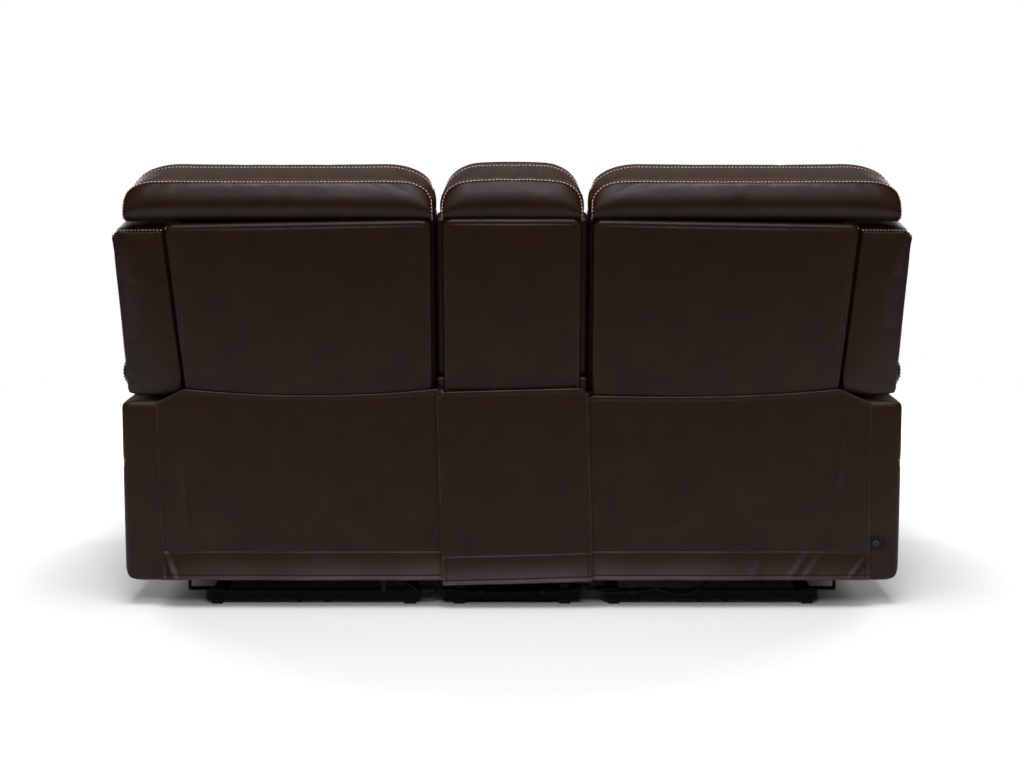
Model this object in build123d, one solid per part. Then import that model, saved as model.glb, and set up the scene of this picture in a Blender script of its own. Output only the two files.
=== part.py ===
# Power reclining loveseat with a fixed console between two reclining seats.
# Millimetres, +Z up, origin under the middle of the loveseat on the floor.
# The seats face -Y and the outside back faces +Y. Left means the sitter's left, +X.

import math
import os

from build123d import *

os.makedirs("parts", exist_ok=True)

# Overall layout
DEPTH_FRONT = 480            # arms' front plane, ahead of the origin
ARM_REAR = 430               # arms' rear plane, behind the origin
BAY_OUTER = 790              # arms' inner faces, from the middle
ARM_WIDTH = 149
ARM_OUTER = BAY_OUTER + ARM_WIDTH    # arms' outer faces
CONSOLE_HALF = 180           # console side faces
SEAT_CENTER = (BAY_OUTER + CONSOLE_HALF) / 2
BAY_HALF = (BAY_OUTER - CONSOLE_HALF) / 2
SEAT_SIDE_GAP = 8            # seat pieces to the arm and to the console
TOUCH = 0.3                  # soft or painted pieces seated against each other
RUN = 0.05                   # radial clearance of a pin in its hole

# Steel base
FOOT_HEIGHT = 10
FOOT_SIDE = 27
FOOT_TAPER = -3              # degrees; the feet widen upwards
TUBE = 24
TUBE_WALL = 2
BASE_REAR = 402              # rear face of the rear base tubes
BASE_FRONT = 150 - DEPTH_FRONT   # front face of the front base tubes
RAIL_OFFSET = 236            # side rails, each side of the seat centre
TUBE_OVERHANG = 22           # base tubes past their side rails
CONSOLE_TUBE_HALF = 165
CONSOLE_FOOT_OFFSET = 128
BRACKET_TOP = 130            # upright leg of the angles on the arms and the console
CAP_FLANGE = 4
CAP_PLUG = 14

# Seat slides on the base
TRACK_Z = 200                # top of the track's flange
TRACK_WEB = 4
TRACK_FLANGE = 20
TRACK_FRONT = BASE_FRONT + 30
TRACK_REAR = 290
TRACK_WINDOWS = 3
TRACK_WINDOW = 90            # height of the windows in the track's web
WINDOW_CORNER = 18
WINDOW_POST = 59             # web left between two windows
RUNNER_WALL = 4
RUNNER_LIP = 8
GLIDE = 86
RUNNER_OVERHANG = 36         # runner ahead of its track at full glide
RUNNER_FRONT = TRACK_FRONT + GLIDE - RUNNER_OVERHANG
RUNNER_REAR = 200

# Arms
ARM_BOTTOM = 62
ARM_TOP = 505
ARM_CORNER = 34
ARM_BOARD = 18
ARM_POST = 60
PAD_TOP = 602
PAD_OVERHANG = 33
PAD_REAR = 250
PAD_CROWN = 14

# Backs: sizes from the recline pivot, before the back's lean
PIVOT_Y = 396
PIVOT_Z = 505
LEAN = 7.8
PIVOT_PIN = 16
HINGE_PLATE = 4
HINGE_WIDTH = 44
HINGE_DROP = 40
STILE = 24
STILE_GAP = 10               # stile to the arm or console face
STILE_DROP = 20
BACK_TOP = 432               # top of the back frame and outside back panel
BACK_RAILS = (60, 210, 380)
LEVER = 150
LEVER_THICK = 5
LEVER_WIDTH = 24
LEVER_PLAY = 8               # the lever pin's slot over its pin
BRACKET_RIM = 4
RECLINE = 35
PANEL_THICK = 14
PANEL_CROWN = 4
PANEL_BOTTOM = 6
PANEL_TOP_REACH = 28         # the panel's top corner, past the bay's outer side
PANEL_FOOT_INSET = 8
CUSHION_THICK = 170
CUSHION_BOTTOM = 12
CUSHION_BULGE = 20
CUSHION_ROUNDING = 2.6       # bow of a cushion's front across its width, in bulges
CUSHION_SIDE_GAP = 5         # back cushion to the console's side
BACK_PILLOWS = 3
WING_BOTTOM = 26
WING_TOP = 420
WING_THICK = 150
WING_REACH_TOP = 161         # wing's outer edge past the bay's outer side, at its top
WING_REACH_FOOT = 137
WING_REAR_INSET = 4
HEAD_BOTTOM = 440
HEAD_TOP = 544
HEAD_FRONT = -185
HEAD_REAR = 22
HEAD_REACH = 120             # headrest past the bay's outer side
HEAD_CORNER = 58
HEAD_CROWN = 4
HEAD_BEVEL = 16              # rear top edge, under the band's seam
HEAD_FRONT_BEVEL = 29

# Seats
DECK_Z = 338
SEAT_TOP = 486
SEAT_CROWN = 14
SEAT_FRONT = 32 - DEPTH_FRONT
SEAT_REAR = 215
SEAT_ROLL = 120              # front roll of the seat cushion
CHANNEL = 7
PLATE_OFFSET = 196           # mechanism side plates, each side of the seat centre
PLATE = 4
CROSS_FRONT = BASE_FRONT + 130
CROSS_REAR = 120
SPRING_WIRE = 4
SPRING_COUNT = 5
SPRING_TURNS = 8
SPRING_SWING = 26

# Footrest scissor
LINK_LENGTH = 220
LINK_WIDTH = 24
LINK_THICK = 5
LINK_GAP = 1
LINK_PIN = 10
SCISSOR_TILT = 25            # the scissor's axis, up from level
SCISSOR_STOWED = 82          # link angle from that axis
SCISSOR_OPEN = 18
SCISSOR_Y = BASE_FRONT + 10
SCISSOR_Z = 108
SLOT_PLAY = 1                # the scissor pin's slot over its pin
TORQUE_TUBE = 22
OTTOMAN_OFFSET = 40          # board behind face, ahead of its pin
OTTOMAN_BOARD = 15
OTTOMAN_PAD = 51
OTTOMAN_BELOW = 66
OTTOMAN_ABOVE = 168
OTTOMAN_CROWN = 8

# Drive
ACTUATOR_RAIL = 30
RAIL_END = 35                # actuator rail past the carriage's travel
ACTUATOR_REAR = 160
MOTOR_LENGTH = 86
MOTOR_HEIGHT = 62
MOTOR_WIDTH = 58
CARRIAGE_LENGTH = 44
CARRIAGE_WIDTH = 46
CARRIAGE_HEIGHT = 26
CARRIAGE_START = 60
CARRIAGE_TRAVEL = 150

# Console
CONSOLE_TOP = 560
CONSOLE_WALL = 36
BIN_FRONT = -70
BIN_REAR = 190
BIN_FLOOR = 330
CUP_BORE = 86
CUP_DEPTH = 78
CUP_WALL = 2
CUP_OFFSET = 72
CUP_Y = 150 - DEPTH_FRONT
CUP_RIM = 6
LID_THICK = 52
LID_LAP = 22
LID_CROWN = 10
HINGE_PIN = 8
KNUCKLE = 14
KNUCKLE_LENGTH = 40
KNUCKLE_OFFSET = 90
EAR = 6
CONSOLE_BACK_HALF = 165
CONSOLE_PANEL_BOTTOM = 20
CONSOLE_BOARD_HALF = 140
CONSOLE_CUSHION_THICK = 110
CONSOLE_CUSHION_HALF = 177
CONSOLE_HEAD_CORNER = 46

# Skirts hanging behind the mechanism
RAIL_BOARD = 12
RAIL_BOTTOM = 380
RAIL_TOP = 460
SKIRT_THICK = 3
SKIRT_HEM_THICK = 5
SKIRT_HEM = 66
SKIRT_BOTTOM = 72
SKIRT_TOP = 528
SKIRT_SAG = 14
SKIRT_INSET_LEFT = 96        # outer edges at the hem, in from the arms' outer faces
SKIRT_INSET_RIGHT = 75
SKIRT_FLARE_LEFT = 10        # the outer edge leans out towards the top
SKIRT_FLARE_RIGHT = -4
SKIRT_SHOULDER = 30          # drop of the sloped top corner
SKIRT_INNER = 177
SKIRT_CREASE = BAY_OUTER - 7
SKIRT_FOLD = 5
SKIRT_LAP = 3                # the middle skirt over the side skirts
SKIRT_CHAMFER = 12
SKIRT_CENTER_DROP = 8

# Power inlet, controls and harness
INLET_INSET = 32             # plate's outer end, in from the arm's outer face
INLET_Z = 157
INLET_LENGTH = 60
INLET_HEIGHT = 36
INLET_THICK = 3
JACK_OUTER = 14
JACK_BORE = 9
JACK_PIN = 3
JACK_INSET = 27              # jack's middle, in from the plate's outer end
JACK_PROUD = 3
CONTROL_Y = 230 - DEPTH_FRONT
CONTROL_Z = 545
CONTROL_LENGTH = 84
CONTROL_HEIGHT = 36
CONTROL_THICK = 5
CONTROL_CORNER = 8
ROCKER_LENGTH = 40
ROCKER_HEIGHT = 18
ROCKER_PROUD = 4
ROCKER_PIN = 2.4
ROCKER_STUB = 4
ROCKER_GAP = 0.8
CABLE = 6
CLIP_WIDTH = 10
CLIP_WALL = 2
CLIP_GAP = 0.8


ROUND = math.sqrt(2) * math.tan(math.radians(22.5)) / 2      # bow of a quarter circle on its chord


# Drawing helpers
def outline(points, bulges=None):
    """Closed face through counter-clockwise points; side i bows outward by bulges[i]."""
    edges = []
    for index, start in enumerate(points):
        end = points[(index + 1) % len(points)]
        bulge = (bulges or {}).get(index, 0)
        if bulge:
            run_x = end[0] - start[0]
            run_y = end[1] - start[1]
            length = math.hypot(run_x, run_y)
            middle = ((start[0] + end[0]) / 2 + run_y / length * bulge,
                      (start[1] + end[1]) / 2 - run_x / length * bulge)
            edges.append(ThreePointArc(start, middle, end))
        else:
            edges.append(Line(start, end))
    return make_face(edges)


def box_points(a0, a1, b0, b1):
    """Corners of a rectangle, counter-clockwise from the lower left."""
    return [(a0, b0), (a1, b0), (a1, b1), (a0, b1)]


def along_x(face, x0, x1):
    """A face drawn in (Y, Z), extruded from x0 to x1."""
    return extrude(Plane(origin=(x0, 0, 0), x_dir=(0, 1, 0), z_dir=(1, 0, 0)) * face, x1 - x0)


def along_y(face, y0, y1):
    """A face drawn in (X, Z), extruded from y0 to y1."""
    return extrude(Plane(origin=(0, y1, 0), x_dir=(1, 0, 0), z_dir=(0, -1, 0)) * face, y1 - y0)


def along_z(face, z0, z1):
    """A face drawn in (X, Y), extruded from z0 to z1."""
    return extrude(Plane.XY.offset(z0) * face, z1 - z0)


def block(x0, x1, y0, y1, z0, z1):
    """A plain box between two corners."""
    return Pos((x0 + x1) / 2, (y0 + y1) / 2, (z0 + z1) / 2) * Box(x1 - x0, y1 - y0, z1 - z0)


def square_face(a, b, side=TUBE, wall=TUBE_WALL):
    """Section of a square tube with its lower corner at (a, b)."""
    outer = outline(box_points(a, a + side, b, b + side))
    return outer - outline(box_points(a + wall, a + side - wall, b + wall, b + side - wall))


def pin(point, diameter, x0, x1):
    """A round pin along X at a (Y, Z) point."""
    return along_x(Pos(*point) * Circle(diameter / 2), x0, x1)


def group(*shapes):
    """Separate solids that belong to one piece list entry."""
    return Compound([solid for shape in shapes for solid in shape.solids()])


def mirrored(shape, at=0):
    """The same shape on the other side of the plane X = at."""
    return mirror(shape, about=Plane(origin=(at, 0, 0), z_dir=(1, 0, 0)))


def both_sides(shape):
    """A piece and its twin on the other side of the same seat."""
    return group(shape, mirrored(shape, SEAT_CENTER))


def leaned(shape):
    """A back piece drawn upright from the recline pivot, set at the back's lean."""
    return Pos(0, PIVOT_Y, PIVOT_Z) * Rot(X=-LEAN) * shape


def save(name, shape):
    """Write one node."""
    export_step(shape, f"parts/{name}.step")


def save_pair(name, shape):
    """Write a left piece and its mirrored right twin."""
    save(f"{name}_left", shape)
    save(f"{name}_right", mirrored(shape))


# Steel base: one square of tubes under each seat and two tubes under the console
tube_low = FOOT_HEIGHT
tube_high = FOOT_HEIGHT + TUBE
seat_tube_start = SEAT_CENTER - RAIL_OFFSET - TUBE_OVERHANG
seat_tube_end = SEAT_CENTER + RAIL_OFFSET + TUBE_OVERHANG
rear_tube_y = BASE_REAR - TUBE
side_rail = along_y(square_face(SEAT_CENTER + RAIL_OFFSET - TUBE / 2, tube_low),
                    BASE_FRONT + TUBE, rear_tube_y)
base_half = group(along_x(square_face(rear_tube_y, tube_low), seat_tube_start, seat_tube_end),
                  along_x(square_face(BASE_FRONT, tube_low), seat_tube_start, seat_tube_end),
                  both_sides(side_rail))
console_rails = [along_x(square_face(y, tube_low), -CONSOLE_TUBE_HALF, CONSOLE_TUBE_HALF)
                 for y in (rear_tube_y, BASE_FRONT)]
console_stays = [along_y(square_face(x - TUBE / 2, tube_low), BASE_FRONT + TUBE, rear_tube_y)
                 for x in (-CONSOLE_FOOT_OFFSET, CONSOLE_FOOT_OFFSET)]


def side_bracket(y):
    """Angle from a side rail to the face of the arm, or its twin to the console."""
    angle = outline([(SEAT_CENTER + RAIL_OFFSET - TUBE / 2, tube_high), (BAY_OUTER, tube_high),
                     (BAY_OUTER, BRACKET_TOP), (BAY_OUTER - HINGE_PLATE, BRACKET_TOP),
                     (BAY_OUTER - HINGE_PLATE, tube_high + HINGE_PLATE),
                     (SEAT_CENTER + RAIL_OFFSET - TUBE / 2, tube_high + HINGE_PLATE)])
    return both_sides(along_y(angle, y, y + TUBE))


brackets = group(*[side_bracket(y) for y in (BASE_FRONT, rear_tube_y)])
posts = [block(x - TUBE / 2, x + TUBE / 2, y, y + TUBE, tube_high, ARM_BOTTOM)
         for x in (-CONSOLE_FOOT_OFFSET, CONSOLE_FOOT_OFFSET) for y in (rear_tube_y, BASE_FRONT)]
save("base_frame", group(base_half, mirrored(base_half), *console_rails, *console_stays,
                         brackets, mirrored(brackets), *posts))


def end_cap(x, y, outward):
    """Plastic plug with a flange, in the open end of a base tube."""
    plug = TUBE / 2 - TUBE_WALL
    middle_y = y + TUBE / 2
    middle_z = tube_low + TUBE / 2
    flange = block(0, CAP_FLANGE, -TUBE / 2, TUBE / 2, -TUBE / 2, TUBE / 2)
    shank = block(-CAP_PLUG, 0, -plug, plug, -plug, plug)
    cap = Pos(x, middle_y, middle_z) * (flange + shank)
    return cap if outward > 0 else mirrored(cap, x)


caps = []
for tube_y in (rear_tube_y, BASE_FRONT):
    for start, end in ((seat_tube_start, seat_tube_end), (-seat_tube_end, -seat_tube_start),
                       (-CONSOLE_TUBE_HALF, CONSOLE_TUBE_HALF)):
        caps.append(end_cap(start, tube_y, -1))
        caps.append(end_cap(end, tube_y, 1))
save("tube_end_caps", group(*caps))

foot_xs = [sign * (SEAT_CENTER + side * RAIL_OFFSET) for sign in (-1, 1) for side in (-1, 1)]
foot_xs += [-CONSOLE_FOOT_OFFSET, CONSOLE_FOOT_OFFSET]
foot_profile = outline(box_points(-FOOT_SIDE / 2, FOOT_SIDE / 2, -FOOT_SIDE / 2, FOOT_SIDE / 2))
feet = [Pos(x, y + TUBE / 2, 0) * extrude(foot_profile, FOOT_HEIGHT, taper=FOOT_TAPER)
        for x in foot_xs for y in (rear_tube_y, BASE_FRONT)]
save("feet", group(*feet))

# Tracks on the side rails that the seats glide on
track_x = SEAT_CENTER + RAIL_OFFSET
web = outline(box_points(TRACK_FRONT, TRACK_REAR, tube_high, TRACK_Z - TRACK_WEB))
window_pitch = (TRACK_REAR - TRACK_FRONT) / TRACK_WINDOWS
window_z = (tube_high + TRACK_Z) / 2
for step in range(TRACK_WINDOWS):
    center_y = TRACK_FRONT + window_pitch * (step + 0.5)
    web -= Pos(center_y, window_z) * RectangleRounded(window_pitch - WINDOW_POST, TRACK_WINDOW, WINDOW_CORNER)
track = along_x(web, track_x - TRACK_WEB / 2, track_x + TRACK_WEB / 2)
track += block(track_x - TRACK_FLANGE / 2, track_x + TRACK_FLANGE / 2, TRACK_FRONT, TRACK_REAR,
               TRACK_Z - TRACK_WEB, TRACK_Z)
tracks_half = both_sides(track)
save("seat_tracks", group(tracks_half, mirrored(tracks_half)))

# Arms: a wooden frame inside an upholstered cover, with a padded top that overhangs it
arm_section = outline(box_points(BAY_OUTER, ARM_OUTER, ARM_BOTTOM, ARM_TOP))
arm_block = along_y(arm_section, -DEPTH_FRONT, ARM_REAR)
arm_edges = arm_block.edges().filter_by(Axis.Y).group_by(Axis.X)[-1].group_by(Axis.Z)[0]
arm_block = fillet(arm_edges, ARM_CORNER)
frame_x0 = (BAY_OUTER + ARM_OUTER) / 2 - ARM_BOARD
frame_x1 = frame_x0 + 2 * ARM_BOARD
frame_y0 = -DEPTH_FRONT + ARM_POST
frame_y1 = ARM_REAR - ARM_POST
frame_top = ARM_TOP - ARM_POST
frame_face = outline(box_points(frame_y0, frame_y1, ARM_BOTTOM, frame_top))
frame_face -= outline(box_points(frame_y0 + ARM_POST, frame_y1 - ARM_POST,
                                 ARM_BOTTOM + ARM_POST, frame_top - ARM_POST))
arm_frame = along_x(frame_face, frame_x0, frame_x1)
save("arm_frames", group(arm_frame, mirrored(arm_frame)))
arm_cover = arm_block - arm_frame
save("arm_cover_left", arm_cover)

# Power inlet: a plate let into the rear of the right arm, with a round jack
inlet_end = INLET_INSET - ARM_OUTER
inlet_face = Pos(inlet_end + INLET_LENGTH / 2, INLET_Z) * SlotOverall(INLET_LENGTH, INLET_HEIGHT)
inlet_y = ARM_REAR - INLET_THICK
save("arm_cover_right", mirrored(arm_cover) - along_y(inlet_face, inlet_y, ARM_REAR))
jack_point = Pos(inlet_end + JACK_INSET, INLET_Z)
inlet_face -= jack_point * Circle(JACK_OUTER / 2 + RUN)
save("inlet_plate", along_y(inlet_face, inlet_y, ARM_REAR))
jack = along_y(jack_point * Circle(JACK_OUTER / 2), inlet_y, ARM_REAR + JACK_PROUD)
jack -= along_y(jack_point * (Circle(JACK_BORE / 2) - Circle(JACK_PIN / 2)), inlet_y + INLET_THICK / 2,
                ARM_REAR + JACK_PROUD)
save("inlet_jack", jack)

pad_outer = ARM_OUTER + PAD_OVERHANG
pad_middle = (ARM_TOP + PAD_TOP) / 2
pad_section = outline([(BAY_OUTER, ARM_TOP + TOUCH), (ARM_OUTER, ARM_TOP + TOUCH),
                       (pad_outer, pad_middle), (ARM_OUTER, PAD_TOP - PAD_CROWN / 2),
                       (BAY_OUTER, PAD_TOP - PAD_CROWN)],
                      {1: PAD_OVERHANG / 6, 2: PAD_OVERHANG / 4, 3: PAD_CROWN / 2})
arm_pad = along_y(pad_section, -DEPTH_FRONT, PAD_REAR)
save_pair("arm_pad", arm_pad)

# Wooden rail from arm to arm, which the skirts hang on
rail_front = ARM_REAR - RAIL_BOARD
save("rear_rail", block(-BAY_OUTER, BAY_OUTER, rail_front, ARM_REAR, RAIL_BOTTOM, RAIL_TOP))


# Skirts: hanging leather flaps that bow out between their creases, with a doubled hem
def skirt(front, y, creases):
    """A sheet whose plan bows out from crease to crease, cut to its outline seen from behind."""

    def hanging(thick, z0, z1):
        rear = y + thick
        edges = [ThreePointArc((start, rear), ((start + end) / 2, rear + SKIRT_FOLD), (end, rear))
                 for start, end in zip(creases, creases[1:])]
        edges += [Line((creases[-1], rear), (creases[-1], y)), Line((creases[-1], y), (creases[0], y)),
                  Line((creases[0], y), (creases[0], rear))]
        return along_z(make_face(edges), z0, z1)

    hem_top = SKIRT_BOTTOM + SKIRT_HEM
    sheet = hanging(SKIRT_THICK, hem_top, SKIRT_TOP) + hanging(SKIRT_HEM_THICK, 0, hem_top)
    return sheet & along_y(front, y, y + SKIRT_HEM_THICK + 2 * SKIRT_FOLD)


skirt_y = ARM_REAR + TOUCH


def side_skirt(outer, flare):
    """A left side skirt with a sagging top edge and a sloped outer corner."""
    corner = outer + flare
    front = outline([(SKIRT_INNER, SKIRT_BOTTOM), (outer, SKIRT_BOTTOM), (corner, SKIRT_TOP - SKIRT_SHOULDER),
                     (BAY_OUTER, SKIRT_TOP), (SKIRT_INNER, SKIRT_TOP)], {3: -SKIRT_SAG})
    return skirt(front, skirt_y, (SKIRT_INNER, SEAT_CENTER, SKIRT_CREASE, max(outer, corner)))


save("skirt_left", side_skirt(ARM_OUTER - SKIRT_INSET_LEFT, SKIRT_FLARE_LEFT))
save("skirt_right", mirrored(side_skirt(ARM_OUTER - SKIRT_INSET_RIGHT, SKIRT_FLARE_RIGHT)))
center_half = SKIRT_INNER + SKIRT_LAP
center_low = SKIRT_BOTTOM - SKIRT_CENTER_DROP
center_front = outline([(-center_half, center_low), (center_half, center_low),
                        (center_half, SKIRT_TOP - SKIRT_CHAMFER), (center_half - SKIRT_CHAMFER, SKIRT_TOP),
                        (SKIRT_CHAMFER - center_half, SKIRT_TOP),
                        (-center_half, SKIRT_TOP - SKIRT_CHAMFER)])
center_y = skirt_y + SKIRT_HEM_THICK + TOUCH
save("skirt_center", skirt(center_front, center_y, (-center_half, center_half)))

# Hinge plates on the arms and the console that carry the backs
hinge_face = outline(box_points(PIVOT_Y - HINGE_WIDTH / 2, PIVOT_Y + HINGE_WIDTH / 2,
                                PIVOT_Z - HINGE_DROP, PIVOT_Z))
hinge_face += Pos(PIVOT_Y, PIVOT_Z) * Circle(HINGE_WIDTH / 2)
hinge_face -= Pos(PIVOT_Y, PIVOT_Z) * Circle(PIVOT_PIN / 2 + RUN)
hinges_half = group(along_x(hinge_face, BAY_OUTER - HINGE_PLATE, BAY_OUTER),
                    along_x(hinge_face, CONSOLE_HALF, CONSOLE_HALF + HINGE_PLATE))
save("back_hinges", group(hinges_half, mirrored(hinges_half)))

# Back frames: stiles, cross rails, recline levers and pivot pins
stile_in = CONSOLE_HALF + STILE_GAP
stile_out = BAY_OUTER - STILE_GAP
stile_section = square_face(stile_out - STILE, -STILE / 2, STILE)
stile = along_z(stile_section, -STILE_DROP, BACK_TOP)
stile_bore = pin((0, 0), PIVOT_PIN + 2 * RUN, stile_out - STILE, stile_out)
rails = [along_x(square_face(-STILE / 2, z), stile_in + STILE, stile_out - STILE) for z in BACK_RAILS]
lever_x1 = stile_out - STILE - TOUCH
lever_x0 = lever_x1 - LEVER_THICK
lever_pin_x0 = lever_x0 - 3 * LEVER_THICK
lever_face = Pos(0, -LEVER / 2) * Rot(0, 0, 90) * SlotCenterToCenter(LEVER, LEVER_WIDTH)
lever_face -= Pos(0, 0) * Circle(PIVOT_PIN / 2 + RUN)
lever = along_x(lever_face, lever_x0, lever_x1)
lever += pin((0, -LEVER), LINK_PIN, lever_pin_x0, lever_x0)
upright_pin = pin((0, 0), PIVOT_PIN, lever_x0, BAY_OUTER - TOUCH)
back_frame = group(both_sides(leaned(stile - stile_bore)),
                   both_sides(Pos(0, PIVOT_Y, PIVOT_Z) * lever),
                   both_sides(Pos(0, PIVOT_Y, PIVOT_Z) * upright_pin),
                   leaned(group(*rails)))
save_pair("back_frame", back_frame)

# Outside back panel: a padded board with a slightly crowned face
panel_front = STILE / 2 + TOUCH
panel_rear = panel_front + PANEL_THICK
panel_outline = outline([(stile_in, PANEL_BOTTOM), (BAY_OUTER - PANEL_FOOT_INSET, PANEL_BOTTOM),
                         (BAY_OUTER + PANEL_TOP_REACH, BACK_TOP), (stile_in, BACK_TOP)])
panel_plan = outline([(stile_in, panel_front), (BAY_OUTER + PANEL_TOP_REACH, panel_front),
                      (BAY_OUTER + PANEL_TOP_REACH, panel_rear), (stile_in, panel_rear)],
                     {2: PANEL_CROWN})
back_panel = along_z(panel_plan, PANEL_BOTTOM, BACK_TOP)
back_panel &= along_y(panel_outline, panel_front, panel_rear + 2 * PANEL_CROWN)
save_pair("back_panel", leaned(back_panel))

# Front back cushion: a stack of pillows parted by drawn-in channels
cushion_rear = -STILE / 2 - TOUCH
cushion_front = cushion_rear - CUSHION_THICK
cushion_low = CUSHION_BOTTOM
pillow = (HEAD_BOTTOM - TOUCH - cushion_low) / BACK_PILLOWS


def pillow_stack(x0, x1, thick_front, bulge):
    """Side profile of bulging pillows, drawn in at the two ends of its width."""
    points = [(cushion_rear, cushion_low), (cushion_rear, HEAD_BOTTOM - TOUCH)]
    points += [(thick_front, HEAD_BOTTOM - TOUCH - step * pillow) for step in range(BACK_PILLOWS + 1)]
    bulges = {2 + step: bulge for step in range(BACK_PILLOWS)}
    stack = along_x(outline(points, bulges), x0, x1)
    plan = outline([(x0, thick_front + bulge), (x1, thick_front + bulge), (x1, cushion_rear),
                    (x0, cushion_rear)], {0: CUSHION_ROUNDING * bulge})
    return stack & along_z(plan, cushion_low, HEAD_BOTTOM)


cushion_out = stile_out
cushion_in = CONSOLE_HALF + CUSHION_SIDE_GAP
save_pair("back_cushion", leaned(pillow_stack(cushion_in, cushion_out, cushion_front, CUSHION_BULGE)))


# Headrests: boxed pillows with a large round at each top corner
def headrest(x0, x1, corner):
    """Side profile with a crowned band on top, cut to its rounded rear outline."""
    side = outline([(HEAD_FRONT, HEAD_BOTTOM), (HEAD_REAR, HEAD_BOTTOM),
                    (HEAD_REAR, HEAD_TOP - HEAD_BEVEL), (HEAD_REAR - HEAD_BEVEL, HEAD_TOP),
                    (HEAD_FRONT + HEAD_FRONT_BEVEL, HEAD_TOP), (HEAD_FRONT, HEAD_TOP - HEAD_FRONT_BEVEL)],
                   {1: HEAD_CROWN, 2: HEAD_CROWN, 3: HEAD_CROWN, 4: HEAD_CROWN * 2, 5: CUSHION_BULGE / 2})
    rear = outline([(x0, HEAD_BOTTOM), (x1, HEAD_BOTTOM), (x1, HEAD_TOP - corner),
                    (x1 - corner, HEAD_TOP), (x0 + corner, HEAD_TOP), (x0, HEAD_TOP - corner)],
                   {2: corner * ROUND, 3: HEAD_CROWN, 4: corner * ROUND})
    return along_x(side, x0, x1) & along_y(rear, HEAD_FRONT - CUSHION_THICK, HEAD_REAR + CUSHION_THICK)


head_in = CONSOLE_HALF
save_pair("headrest", leaned(headrest(head_in, BAY_OUTER + HEAD_REACH, HEAD_CORNER)))

# Wings: padded ears on the backs' outer sides, standing over the arms
wing_rear = panel_rear - WING_REAR_INSET
wing_in = stile_out + TOUCH
wing_outline = outline([(wing_in, WING_BOTTOM), (BAY_OUTER + WING_REACH_FOOT, WING_BOTTOM),
                        (BAY_OUTER + WING_REACH_TOP, WING_TOP), (wing_in, WING_TOP)],
                       {1: -PANEL_CROWN})
wing_plan = outline([(wing_in, wing_rear - WING_THICK), (BAY_OUTER + WING_REACH_TOP, wing_rear - WING_THICK),
                     (BAY_OUTER + WING_REACH_TOP, wing_rear), (wing_in, wing_rear)],
                    {0: PANEL_CROWN * 2, 2: PANEL_CROWN})
wing = along_z(wing_plan, WING_BOTTOM, WING_TOP)
wing &= along_y(wing_outline, wing_rear - 2 * WING_THICK, wing_rear + WING_THICK)
wing -= along_y(panel_outline, panel_front - TOUCH, panel_rear + WING_THICK)
wing -= block(wing_in - STILE, BAY_OUTER + HINGE_PLATE, -2 * HINGE_WIDTH, 2 * HINGE_WIDTH,
              -HINGE_WIDTH, HINGE_WIDTH)
save_pair("wing", leaned(wing))

# Console back: a board fixed on the console with its own panel, cushion and headrest
console_board = leaned(block(-CONSOLE_BOARD_HALF, CONSOLE_BOARD_HALF, -STILE / 2, STILE / 2,
                             0, BACK_TOP))
console_board -= block(-BAY_OUTER, BAY_OUTER, 0, 2 * PIVOT_Y, 0, CONSOLE_TOP)
save("console_back_frame", console_board)
console_plan = outline([(-CONSOLE_BACK_HALF, panel_front), (CONSOLE_BACK_HALF, panel_front),
                        (CONSOLE_BACK_HALF, panel_rear), (-CONSOLE_BACK_HALF, panel_rear)],
                       {2: PANEL_CROWN})
save("console_back_panel", leaned(along_z(console_plan, CONSOLE_PANEL_BOTTOM, BACK_TOP)))
console_stack = leaned(pillow_stack(-CONSOLE_CUSHION_HALF, CONSOLE_CUSHION_HALF,
                                    cushion_rear - CONSOLE_CUSHION_THICK, CUSHION_BULGE / 2))
console_stack -= block(-BAY_OUTER, BAY_OUTER, -DEPTH_FRONT, ARM_REAR, 0, CONSOLE_TOP + TOUCH)
save("console_back_cushion", console_stack)
save("console_headrest", leaned(headrest(-CONSOLE_BACK_HALF, CONSOLE_BACK_HALF, CONSOLE_HEAD_CORNER)))

# Console: an upholstered box with a storage bin, two cup holders and a hinged lid
console_box = block(-CONSOLE_HALF, CONSOLE_HALF, -DEPTH_FRONT, rail_front, ARM_BOTTOM, CONSOLE_TOP)
bin_half = CONSOLE_HALF - CONSOLE_WALL
console_box -= block(-bin_half, bin_half, BIN_FRONT, BIN_REAR, BIN_FLOOR, CONSOLE_TOP)
console_box -= leaned(block(-CONSOLE_HALF, CONSOLE_HALF, panel_front - TOUCH, panel_rear + STILE,
                            CONSOLE_PANEL_BOTTOM - TOUCH, BACK_TOP))
cup_outer = CUP_BORE / 2 + CUP_WALL
for side in (-1, 1):
    console_box -= Pos(side * CUP_OFFSET, CUP_Y, CONSOLE_TOP - (CUP_DEPTH + CUP_WALL) / 2) * Cylinder(
        cup_outer + TOUCH, CUP_DEPTH + CUP_WALL)
save("console_box", console_box)

cup_section = outline([(0, 0), (cup_outer, 0), (cup_outer, CUP_DEPTH + CUP_WALL),
                       (cup_outer + CUP_RIM, CUP_DEPTH + CUP_WALL),
                       (cup_outer + CUP_RIM, CUP_DEPTH + 2 * CUP_WALL),
                       (CUP_BORE / 2, CUP_DEPTH + 2 * CUP_WALL), (CUP_BORE / 2, CUP_WALL),
                       (0, CUP_WALL)])
cup = revolve(Plane.XZ * cup_section, Axis.Z)
cup_z = CONSOLE_TOP - CUP_DEPTH - CUP_WALL
save("cup_liners", group(*[Pos(side * CUP_OFFSET, CUP_Y, cup_z) * cup for side in (-1, 1)]))

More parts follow.
